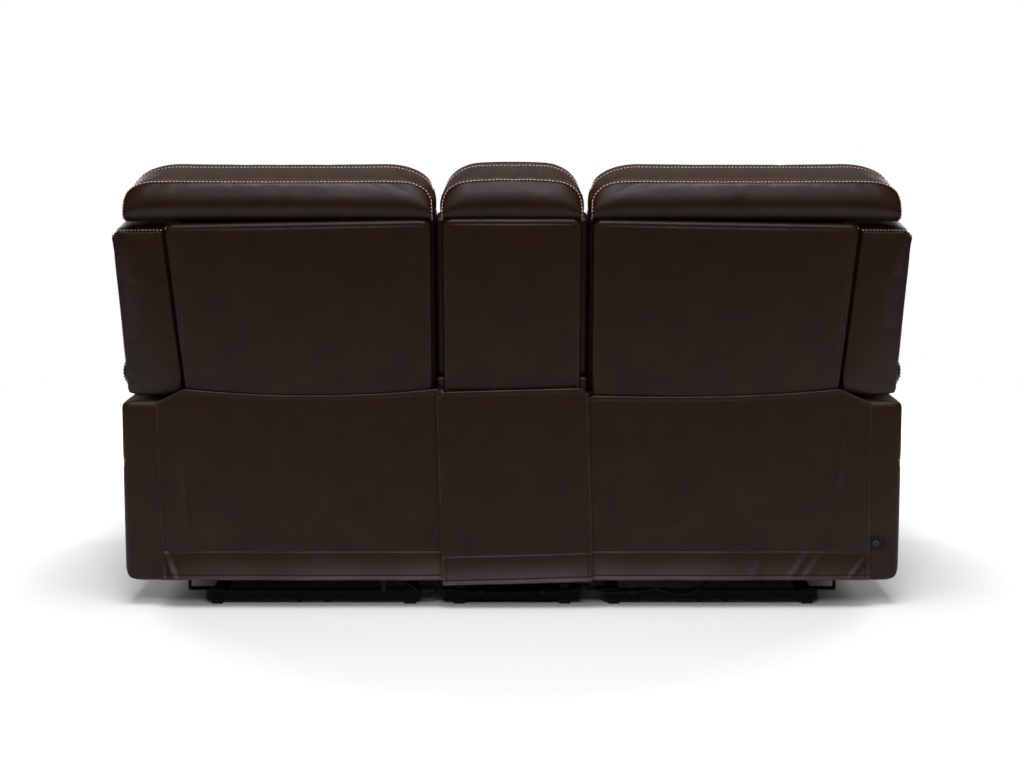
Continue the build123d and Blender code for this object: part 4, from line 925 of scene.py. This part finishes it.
def panel_form(x_in, x_foot, x_top, low, high, rise, lines, sign):
    """Points of an outside back panel: thin and crowned, with its seam inside a rolled edge."""

    def place(u, v, w):
        across = (x_top - x_in) * (lined(u, lines[0]) + 1) / 2
        tall = high - low + rise * (1 - across / (x_top - x_in))
        z = low + tall * (lined(w, lines[1]) + 1) / 2
        x_out = x_foot + (x_top - x_foot) * (z - PANEL_LOW) / (high - PANEL_LOW)
        x = x_in + across * (x_out - x_in) / (x_top - x_in)
        side, top = np.minimum(x - x_in, x_out - x), low + tall - z
        corner = (side < PANEL_CORNER) & (top < PANEL_CORNER)
        reach = np.hypot(np.maximum(PANEL_CORNER - side, 0), np.maximum(PANEL_CORNER - top, 0))
        inset = np.maximum(np.where(corner, PANEL_CORNER - reach, np.minimum(side, top)), 0)
        roll = PANEL_ROLL - np.sqrt(np.maximum(PANEL_ROLL ** 2 - np.maximum(PANEL_ROLL - inset, 0) ** 2, 0))
        seam = PANEL_SEAM[1] * np.exp(-((inset - PANEL_BAND) / PANEL_SEAM[0]) ** 2)
        lift = 1 - np.exp(-np.maximum(inset - PANEL_BAND, 0) / PANEL_SWELL)
        crown = PANEL_CROWN * (1 - (2 * across / (x_top - x_in) - 1) ** 2) * lift
        pucker = PANEL_PUCKER[0] * np.sin(x / 5.3 + 1.5 * np.sin(x / 23.0))
        pucker = pucker * np.exp(-np.maximum(top - PANEL_BAND, 0) / PANEL_PUCKER[1])
        rear = PANEL_REAR - 0.95 * roll - seam + crown + pucker * (inset > PANEL_BAND)
        y = np.where(v > 0, PANEL_FRONT + (rear - PANEL_FRONT) * v, PANEL_FRONT)
        over = np.where(corner & (reach > PANEL_CORNER), reach - PANEL_CORNER, 0)
        inner = np.where(x - x_in < x_out - x, 1, -1)
        z = z - 0.7 * over * (PANEL_CORNER - top) / np.maximum(reach, 1)
        x = x + 0.7 * over * inner * (PANEL_CORNER - side) / np.maximum(reach, 1)
        return leaned(sign * x, y, z)

    return place


def dressed_panel(name, body, node, x_in, x_foot, x_top, low, high, rise, sign):
    """An outside back panel, taut on its wadding."""
    wide, tall = x_top - x_in, high - low
    lines = (net_lines((18, 2), (wide - 18, 8), (wide, 2)), net_lines((tall - 18, 8), (tall, 2)))
    place = panel_form(x_in, x_foot, x_top, low, high, rise, lines, sign)
    panel, _, _ = shell(name, len(lines[0]) - 1, 4, len(lines[1]) - 1, place)
    smooth_skin(panel, brown_leather)
    upholster(panel, body, node)


for side, sign in SIDES:
    dressed_panel(f"back_panel_leather_{side}", f"back_{side}", f"back_panel_{side}",
                  *PANEL_X, PANEL_LOW, PANEL_TOP, PANEL_RISE, sign)
dressed_panel("console_panel_leather", "frame", "console_back_panel",
              *CONSOLE_PANEL_X, CONSOLE_PANEL_LOW, CONSOLE_PANEL_TOP, 0.0, 1)


# Headrests: boxed pillows, a rear and a front panel joined by a gathered band over the top and sides.
# Both seams of the band are topstitched in tan thread, and the gathers show as light puckers.
HEAD_LOW = 440.4
HEAD_REAR = [(2.0, 434.0), (12.0, 442.0), (25.0, 451.0), (30.5, 462.0), (31.0, 473.0), (27.5, 489.0), (22.0, 504.0),
             (17.0, 516.0), (11.0, 527.5)]
HEAD_FRONT = [(-150.0, 440.4), (-171.0, 450.0), (-181.0, 480.0), (-178.0, 515.0), (-161.0, 540.0), (-140.0, 548.0),
              (-123.0, 548.5), (-115.0, 546.0), (-112.0, 542.5)]
HEAD_UNDER = [(-150.0, 440.4), (-70.0, 440.4), (-14.0, 440.4), (2.0, 434.0)]
HEAD_BAND = [(-112.0, 542.5), (-109.0, 543.5), (-102.0, 542.5), (-78.0, 538.5), (-40.0, 534.5), (-12.0, 533.5),
             (5.0, 532.0), (12.5, 530.5), (14.0, 529.5), (11.0, 527.5)]
HEAD_DEEP = net_lines((8, 2), (16, 4), (134, 12), (142, 4), (150, 2))
HEAD_TALL = net_lines((72, 12), (88, 4), (96, 2))
HEAD_X = (190.0, 909.0)
HEAD_CORNER = (70.0, 42.0)   # how wide and how deep the top corners are
HEAD_RIM = 528.0             # height of the band's rear seam
HEAD_SPACING = 1.1           # the net closes up towards the ends
HEAD_FRONT_FROM = -80.0      # ahead of this, the front draws in at the corners
HEAD_END_SWELL = 7.0
CONSOLE_HEAD_X = (-162.0, 162.0)
CONSOLE_HEAD_CORNER = (54.0, 42.0)
CONSOLE_HEAD_CROWN = 9.0
CONSOLE_PLEATS = (58.0, -4.0, -65.0)
PLEAT = (6.0, 6.0)           # how wide and how deep each is


def head_form(x0, x1, corner, crown, pleats, sign):
    """Points of a headrest: one profile along its width, lowered round its two top corners."""
    middle, half = (x0 + x1) / 2, (x1 - x0) / 2

    def place(u, v, w):
        v, w = lined(v, HEAD_DEEP), lined(w, HEAD_TALL)
        profile = between(HEAD_UNDER, HEAD_BAND, HEAD_FRONT, HEAD_REAR, v, w)
        x = middle + half * np.sin(u * HEAD_SPACING) / math.sin(HEAD_SPACING)
        ahead = np.clip(-profile[:, 0] / 110, 0, 1)
        turn = corner[0] * (1 + 0.6 * ahead)
        into = np.clip((np.abs(x - middle) - (half - turn)) / turn, 0, 1)
        drop = corner[1] * (1 + 0.15 * ahead) * (1 - np.sqrt(1 - into ** 2)) + crown * (u ** 2 - 0.5)
        up = np.clip((profile[:, 1] - HEAD_LOW) / (HEAD_RIM - HEAD_LOW), 0, None)
        y, z = profile[:, 0], profile[:, 1] - drop * np.minimum(up, 1.2)
        drawn_in = HEAD_FRONT_FROM + (y - HEAD_FRONT_FROM) * (1 - 0.25 * into ** 3)
        y = np.where(y < HEAD_FRONT_FROM, drawn_in, y)
        for pleat in pleats:
            z = z - PLEAT[1] * np.exp(-((x - pleat) / PLEAT[0]) ** 2) * (1 - v ** 2) * (w > RIM)
        x = x + np.sign(u) * (np.abs(u) > RIM) * HEAD_END_SWELL * (1 - v ** 4)
        return leaned(sign * x, y, z)

    return place


def dressed_headrest(name, body, node, place, across):
    """A headrest blown up between its sewn seams, with its two rows of thread."""
    deep, tall = len(HEAD_DEEP) - 1, len(HEAD_TALL) - 1
    head, uvw, key = shell(name, across, deep, tall, place)
    rim = (np.abs(uvw[:, 0]) > RIM) | (uvw[:, 2] > RIM)
    seams = (np.abs(uvw[:, 1]) > RIM) & rim
    band = (np.abs(uvw[:, 1]) < RIM) & rim
    stuffed(head, seams | (uvw[:, 2] < -RIM), swell=4.0, cap=3, gathered=band)
    smooth_skin(head, brown_leather)
    upholster(head, body, node)
    rows = []
    for j in (deep - 2, 2):
        row = [(0, j, k) for k in range(tall)] + [(i, j, tall) for i in range(across + 1)]
        row += [(across, j, k) for k in range(tall - 1, -1, -1)]
        rows.append(row_on(head, key, row, lift=1.0))
    stitched(name + "_stitches", body, rows)


for side, sign in SIDES:
    dressed_headrest(f"headrest_leather_{side}", f"back_{side}", f"headrest_{side}",
                     head_form(*HEAD_X, HEAD_CORNER, 0.0, (), sign), 84)
dressed_headrest("console_headrest_leather", "frame", "console_headrest",
                 head_form(*CONSOLE_HEAD_X, CONSOLE_HEAD_CORNER, CONSOLE_HEAD_CROWN, CONSOLE_PLEATS, 1), 50)


# Wings: padded ears on the backs' outer sides, which stand just clear of the arms.
# Each is a foam block in a boxed leather case, with a stitched seam along the top of its rear face.
WING_LOW = 17.0
WING_TOP = 419.0
WING_FRONT = -122.0
WING_REAR = 16.0
WING_IN = (781.0, 9.0, 35.0)     # inner face, its step behind the stile, and how far that slants out to the top
WING_OUT = (924.0, 20.0, 4.0)    # outer face, how far it leans out to the top, and its hollow
WING_TURN = (9.0, 14.0)          # how far the rear and front faces turn in at the outer side
WING_SWELL = (5.0, 5.0, 2.0)     # of the rear, outer and top faces
WING_TOP_DROP = (15.0, 8.0)      # of the top's outer corner and its rear edge
WING_FOOT_SAG = 12.0
WING_DEEP = net_lines((110, 11), (130, 5), (138, 2))
WING_TALL = net_lines((365, 12), (385, 5), (393, 2))


def wing_form(sign):
    """Points of a wing: its inner rear edge follows the slanting back panel, its outer edge leans out."""

    def place(u, v, w):
        v, w = lined(v, WING_DEEP), lined(w, WING_TALL)
        up = (w + 1) / 2
        z = WING_LOW + (WING_TOP - WING_LOW) * up
        y = WING_FRONT + (WING_REAR - WING_FRONT) * (v + 1) / 2
        behind = np.clip((v - 0.66) / 0.16, 0, 1)
        x_in = WING_IN[0] + (WING_IN[1] + WING_IN[2] * up) * behind
        x_in = np.where(z < 50, np.maximum(x_in, 796.0), x_in)
        x_out = WING_OUT[0] + WING_OUT[1] * up - WING_OUT[2] * np.sin(np.pi * up)
        x = x_in + (x_out - x_in) * (u + 1) / 2
        turn = np.clip((u - 0.55) / 0.45, 0, 1)
        y = np.where(v > 0, y - WING_TURN[0] * turn ** 2, y + WING_TURN[1] * turn ** 2)
        y = y + (v > RIM) * WING_SWELL[0] * (1 - u ** 4) * (1 - w ** 6)
        z = z - WING_TOP_DROP[0] * np.clip((u - 0.6) / 0.4, 0, 1) ** 2 * up ** 8
        z = z - WING_TOP_DROP[1] * np.clip((v - 0.72) / 0.28, 0, 1) ** 2 * up ** 12
        z = z + (w > RIM) * WING_SWELL[2] * (1 - v ** 4) * (1 - 0.5 * u ** 4)
        z = z - (w < -RIM) * WING_FOOT_SAG * (1 - u ** 2) * (1 - v ** 8)
        x = x + (u > RIM) * WING_SWELL[1] * (1 - v ** 2) * (1 - w ** 6)
        return leaned(sign * x, y, z)

    return place


WING_COUNTS = (14, len(WING_DEEP) - 1, len(WING_TALL) - 1)
for side, sign in SIDES:
    wing, uvw, key = shell(f"wing_leather_{side}", *WING_COUNTS, wing_form(sign))
    edge = (np.abs(uvw) > RIM).sum(axis=1) > 1
    inner = uvw[:, 0] < -RIM
    stuffed(wing, edge | inner | (uvw[:, 2] < -RIM), swell=4.0, cap=4)
    smooth_skin(wing, brown_leather)
    upholster(wing, f"back_{side}", f"wing_{side}")
    a, b, c = WING_COUNTS
    top_row = [(i, b - 3, c) for i in range(a + 1)]
    stitched(f"wing_stitches_{side}", f"back_{side}", [row_on(wing, key, top_row)])


# Back cushions: three stacked pillows in one leather case, parted by two sewn channels.
# Fibre fill rounds each pillow, and the channels are drawn back to the frame by ties.
PILLOWS = 3
CUSHION_REAR = -13.0
CUSHION_LOW = 13.0
CUSHION_TOP = 439.2
CUSHION_FOOT = 34.0          # the lowest pillow sags this far towards the seat
CUSHION_ROLL = 34.0          # the side edges are rolled back this much
CUSHION_COUNTS = (8, 36)
CHANNEL_WIDE = 18.0
CHANNEL_SLACK = 6.0          # left of the bulge for the filling to take up
CUSHION_X = (182.6, 779.5)
CONSOLE_CUSHION_X = (-179.4, 179.4)
CONSOLE_CUSHION_FLOOR = 561.0


def cushion_form(x0, x1, front, bulge, sign, floor):
    """Points of a stack of pillows; floor is the height its foot stands at, in the object's own frame, or None."""
    middle, half = (x0 + x1) / 2, (x1 - x0) / 2

    def place(u, v, w):
        z = CUSHION_LOW + (CUSHION_TOP - CUSHION_LOW) * (w + 1) / 2
        part = (z - CUSHION_LOW) / (CUSHION_TOP - CUSHION_LOW) * PILLOWS
        near = np.abs(part - np.round(part)) * (CUSHION_TOP - CUSHION_LOW) / PILLOWS
        puff = 1 - np.exp(-near / CHANNEL_WIDE)
        deep = front - (bulge - CHANNEL_SLACK) * puff * (1 - 0.6 * u ** 4)
        roll = np.clip((np.abs(u) - 0.84) / 0.16, 0, 1)
        deep = deep + CUSHION_ROLL * (1 - np.sqrt(1 - 0.95 * roll ** 2))
        y = CUSHION_REAR + (deep - CUSHION_REAR) * (1 - v) / 2
        x = middle + half * u
        if floor is None:
            z = z - CUSHION_FOOT * np.clip(-w, 0, 1) ** 4 * (1 - v) / 2
        else:
            low = (floor - PIVOT_Z + y * math.sin(LEAN)) / math.cos(LEAN)
            z = low + (CUSHION_TOP - low) * (w + 1) / 2
        return leaned(sign * x, y, z)

    return place


def dressed_cushion(name, body, node, place, across):
    """A back cushion, stuffed between its channels, with thread along each."""
    deep, tall = CUSHION_COUNTS
    cushion, uvw, key = shell(name, across, deep, tall, place)
    channel = (key[:, 2] % (tall // PILLOWS) == 0) & (uvw[:, 1] < -0.5)
    held = channel | (uvw[:, 1] > 0.6) | (uvw[:, 2] < -RIM)
    stuffed(cushion, held, swell=4.0, cap=14, gathered=np.abs(uvw[:, 0]) > 0.8)
    smooth_skin(cushion, brown_leather)
    upholster(cushion, body, node)
    rows = [row_on(cushion, key, [(i, 0, k) for i in range(2, across - 1)])
            for k in range(tall // PILLOWS, tall, tall // PILLOWS)]
    stitched(name + "_stitches", body, rows)


for side, sign in SIDES:
    dressed_cushion(f"back_cushion_leather_{side}", f"back_{side}", f"back_cushion_{side}",
                    cushion_form(*CUSHION_X, -182.0, 20.0, sign, None), 44)
dressed_cushion("console_cushion_leather", "frame", "console_back_cushion",
                cushion_form(*CONSOLE_CUSHION_X, -122.0, 10.0, 1, CONSOLE_CUSHION_FLOOR), 26)


# Seat cushions: a foam core with a softer roll at the front edge, in a leather case.
# One channel sewn across parts the roll from the seat, and a tan thread follows it.
SEAT_X = (188.5, 781.5)
SEAT_Y = (-448.0, 214.5)
SEAT_Z = (362.8, 472.0)
SEAT_CHANNEL = -328.0
SEAT_GROOVE = (10.0, 12.0)   # how wide and how deep the channel is
SEAT_CROWN = 12.0
SEAT_ROUND = 24.0
SEAT_NOSE = 8.0


def seat_form(sign):
    """Points of a seat cushion: rounded, crowned, with its channel and a full front roll."""
    low = (SEAT_X[0], SEAT_Y[0], SEAT_Z[0])
    high = (SEAT_X[1], SEAT_Y[1], SEAT_Z[1])

    def place(u, v, w):
        points = rounded(spread(u, v, w, low, high), low, high, SEAT_ROUND)
        top = np.clip((w + 0.2) / 1.2, 0, 1)
        points[:, 2] += top * SEAT_CROWN * (1 - u ** 2) * (1 - 0.4 * v ** 4)
        points[:, 2] -= top * SEAT_GROOVE[1] * np.exp(-((points[:, 1] - SEAT_CHANNEL) / SEAT_GROOVE[0]) ** 2)
        ahead = np.clip((-v - 0.9) / 0.1, 0, 1)
        points[:, 1] -= SEAT_NOSE * ahead * (1 - u ** 2) * (1 - w ** 2)
        points[:, 0] *= sign
        return points

    return place


SEAT_COUNTS = (44, 50, 8)
SEAT_ROW = round((SEAT_CHANNEL - SEAT_Y[0]) / (SEAT_Y[1] - SEAT_Y[0]) * SEAT_COUNTS[1])
for side, sign in SIDES:
    seat, uvw, key = shell(f"seat_cushion_leather_{side}", *SEAT_COUNTS, seat_form(sign))
    channel = (key[:, 1] == SEAT_ROW) & (uvw[:, 2] > 0.2)
    held = channel | (uvw[:, 2] < -RIM)
    stuffed(seat, held, swell=4.0, cap=12)
    smooth_skin(seat, brown_leather)
    upholster(seat, f"seat_{side}", f"seat_cushion_{side}")
    row = [(i, SEAT_ROW + 1, SEAT_COUNTS[2]) for i in range(2, SEAT_COUNTS[0] - 1)]
    stitched(f"seat_cushion_stitches_{side}", f"seat_{side}", [row_on(seat, key, row)])


# Ottoman pads: foam on the footrest board in a leather case that wraps the board's edges.
# The case is stapled behind the board, and a tan thread frames the crowned face.
OTTOMAN_X = (187.4, 782.6)
OTTOMAN_Y = (-482.0, -415.8)
OTTOMAN_Z = (67.3, 302.5)
OTTOMAN_ROUND = (16.0, 2.0)  # of the face's edges and of those against the board
OTTOMAN_CROWN = 6.0


def ottoman_form(sign):
    """Points of an ottoman pad: rounded, with a crowned face."""
    low = (OTTOMAN_X[0], OTTOMAN_Y[0], OTTOMAN_Z[0])
    high = (OTTOMAN_X[1], OTTOMAN_Y[1], OTTOMAN_Z[1])

    def place(u, v, w):
        inward = np.clip((v + 0.4) / 0.8, 0, 1)
        tight = (OTTOMAN_ROUND[0] + (OTTOMAN_ROUND[1] - OTTOMAN_ROUND[0]) * inward)[:, None]
        points = rounded(spread(u, v, w, low, high), low, high, tight)
        points[:, 1] -= OTTOMAN_CROWN * (1 - u ** 2) * (1 - w ** 2) * (v < -RIM)
        points[:, 0] *= sign
        return points

    return place


OTTOMAN_COUNTS = (44, 5, 18)
for side, sign in SIDES:
    ottoman, uvw, key = shell(f"ottoman_leather_{side}", *OTTOMAN_COUNTS, ottoman_form(sign))
    edge = (np.abs(uvw) > RIM).sum(axis=1) > 1
    stuffed(ottoman, edge | (uvw[:, 1] > 0.1), swell=3.0, cap=5)
    smooth_skin(ottoman, brown_leather)
    upholster(ottoman, f"ottoman_{side}", f"ottoman_pad_{side}")
    a, b, c = OTTOMAN_COUNTS
    loop = [(i, 0, 2) for i in range(2, a - 1)] + [(a - 2, 0, k) for k in range(3, c - 1)]
    loop += [(i, 0, c - 2) for i in range(a - 3, 1, -1)] + [(2, 0, k) for k in range(c - 3, 1, -1)]
    stitched(f"ottoman_stitches_{side}", f"ottoman_{side}", [row_on(ottoman, key, loop)])


# Studio: a pale plain floor under soft light from large panels, in front of white paper; away from the loveseat the
# floor glows, painted light that whitens its far part.
# The camera stands behind the loveseat, a little above its headrests, and looks slightly down.
FLOOR_WHITE = "#C8C8C7"
FLOOR_HALF = 2.65
FLOOR_FRONT = 0.8            # the floor lies this far towards the seats
# The glow is painted light: the floor is no lamp, and it glows only so that its far part reads white.
GLOW_FROM = 1.1              # the floor glows from here outwards, fully from GLOW_TO
GLOW_TO = 2.1
GLOW = 0.7
PAPER_WHITE = "#FFFFFF"
WORLD_FILL = 0.04            # light from the white world, which is at full strength for the camera's eye only
LIGHTS = (("overhead", (0.0, -2.0, 5.2), (0.0, -2.0, 0.0), 8.0, 150),
          ("behind_top", (0.0, 1.8, 5.2), (0.0, 1.2, 0.0), 3.0, 330),
          ("behind_high", (0.0, 5.4, 4.4), (0.0, 0.4, 0.7), 2.4, 200),
          ("ahead_left", (3.6, -3.4, 2.0), (0.0, -0.2, 0.6), 1.8, 150),
          ("ahead_right", (-3.6, -3.4, 2.0), (0.0, -0.2, 0.6), 1.8, 150),
          ("behind_left", (3.8, 3.0, 1.6), (0.0, 0.4, 0.5), 1.4, 4),
          ("behind_right", (-3.8, 3.0, 1.6), (0.0, 0.4, 0.5), 1.4, 4))
CAMERA_AT = (0.0, 5.175, 1.187)
CAMERA_DOWN = 7.7
LENS = 70.3
SENSOR = 36

floor_paint_with_painted_glow, tree, shader, place = finish_called("matt_white_floor_painted_glow", {
    "Base Color": linear(FLOOR_WHITE), "Roughness": 0.9, "Emission Color": linear(PAPER_WHITE)})
away = add(tree, "ShaderNodeVectorMath", {0: place}, operation="LENGTH")
glow = add(tree, "ShaderNodeMapRange", {0: away.outputs["Value"], 1: GLOW_FROM, 2: GLOW_TO, 4: GLOW},
           interpolation_type="SMOOTHSTEP")
tree.links.new(glow.outputs[0], shader.inputs["Emission Strength"])
mesh = bpy.data.meshes.new("floor")
corners = [(x * FLOOR_HALF, y * FLOOR_HALF - FLOOR_FRONT, 0) for x, y in ((-1, -1), (1, -1), (1, 1), (-1, 1))]
mesh.from_pydata(corners, [], [(0, 1, 2, 3)])
mesh.materials.append(floor_paint_with_painted_glow)
placed("floor", mesh)

world = bpy.data.worlds.new("studio")
world.use_nodes = True
sky = world.node_tree.nodes["Background"]
seen = add(world.node_tree, "ShaderNodeLightPath").outputs["Is Camera Ray"]
level = add(world.node_tree, "ShaderNodeMapRange", {0: seen, 3: WORLD_FILL, 4: 1.0})
world.node_tree.links.new(level.outputs[0], sky.inputs["Strength"])
sky.inputs["Color"].default_value = linear(PAPER_WHITE)
scene.world = world
for name, at, aim, size, power in LIGHTS:
    light = bpy.data.lights.new(name, "AREA")
    light.size = size
    light.energy = power
    lamp = placed(name, light)
    lamp.location = at
    lamp.rotation_euler = (Vector(aim) - Vector(at)).to_track_quat("-Z", "Y").to_euler()

lens = bpy.data.cameras.new("camera")
lens.lens = LENS
lens.sensor_width = SENSOR
camera = placed("camera", lens)
camera.location = CAMERA_AT
camera.rotation_euler = (math.radians(90 - CAMERA_DOWN), 0, math.pi)
scene.camera = camera
scene.view_settings.view_transform = "Standard"
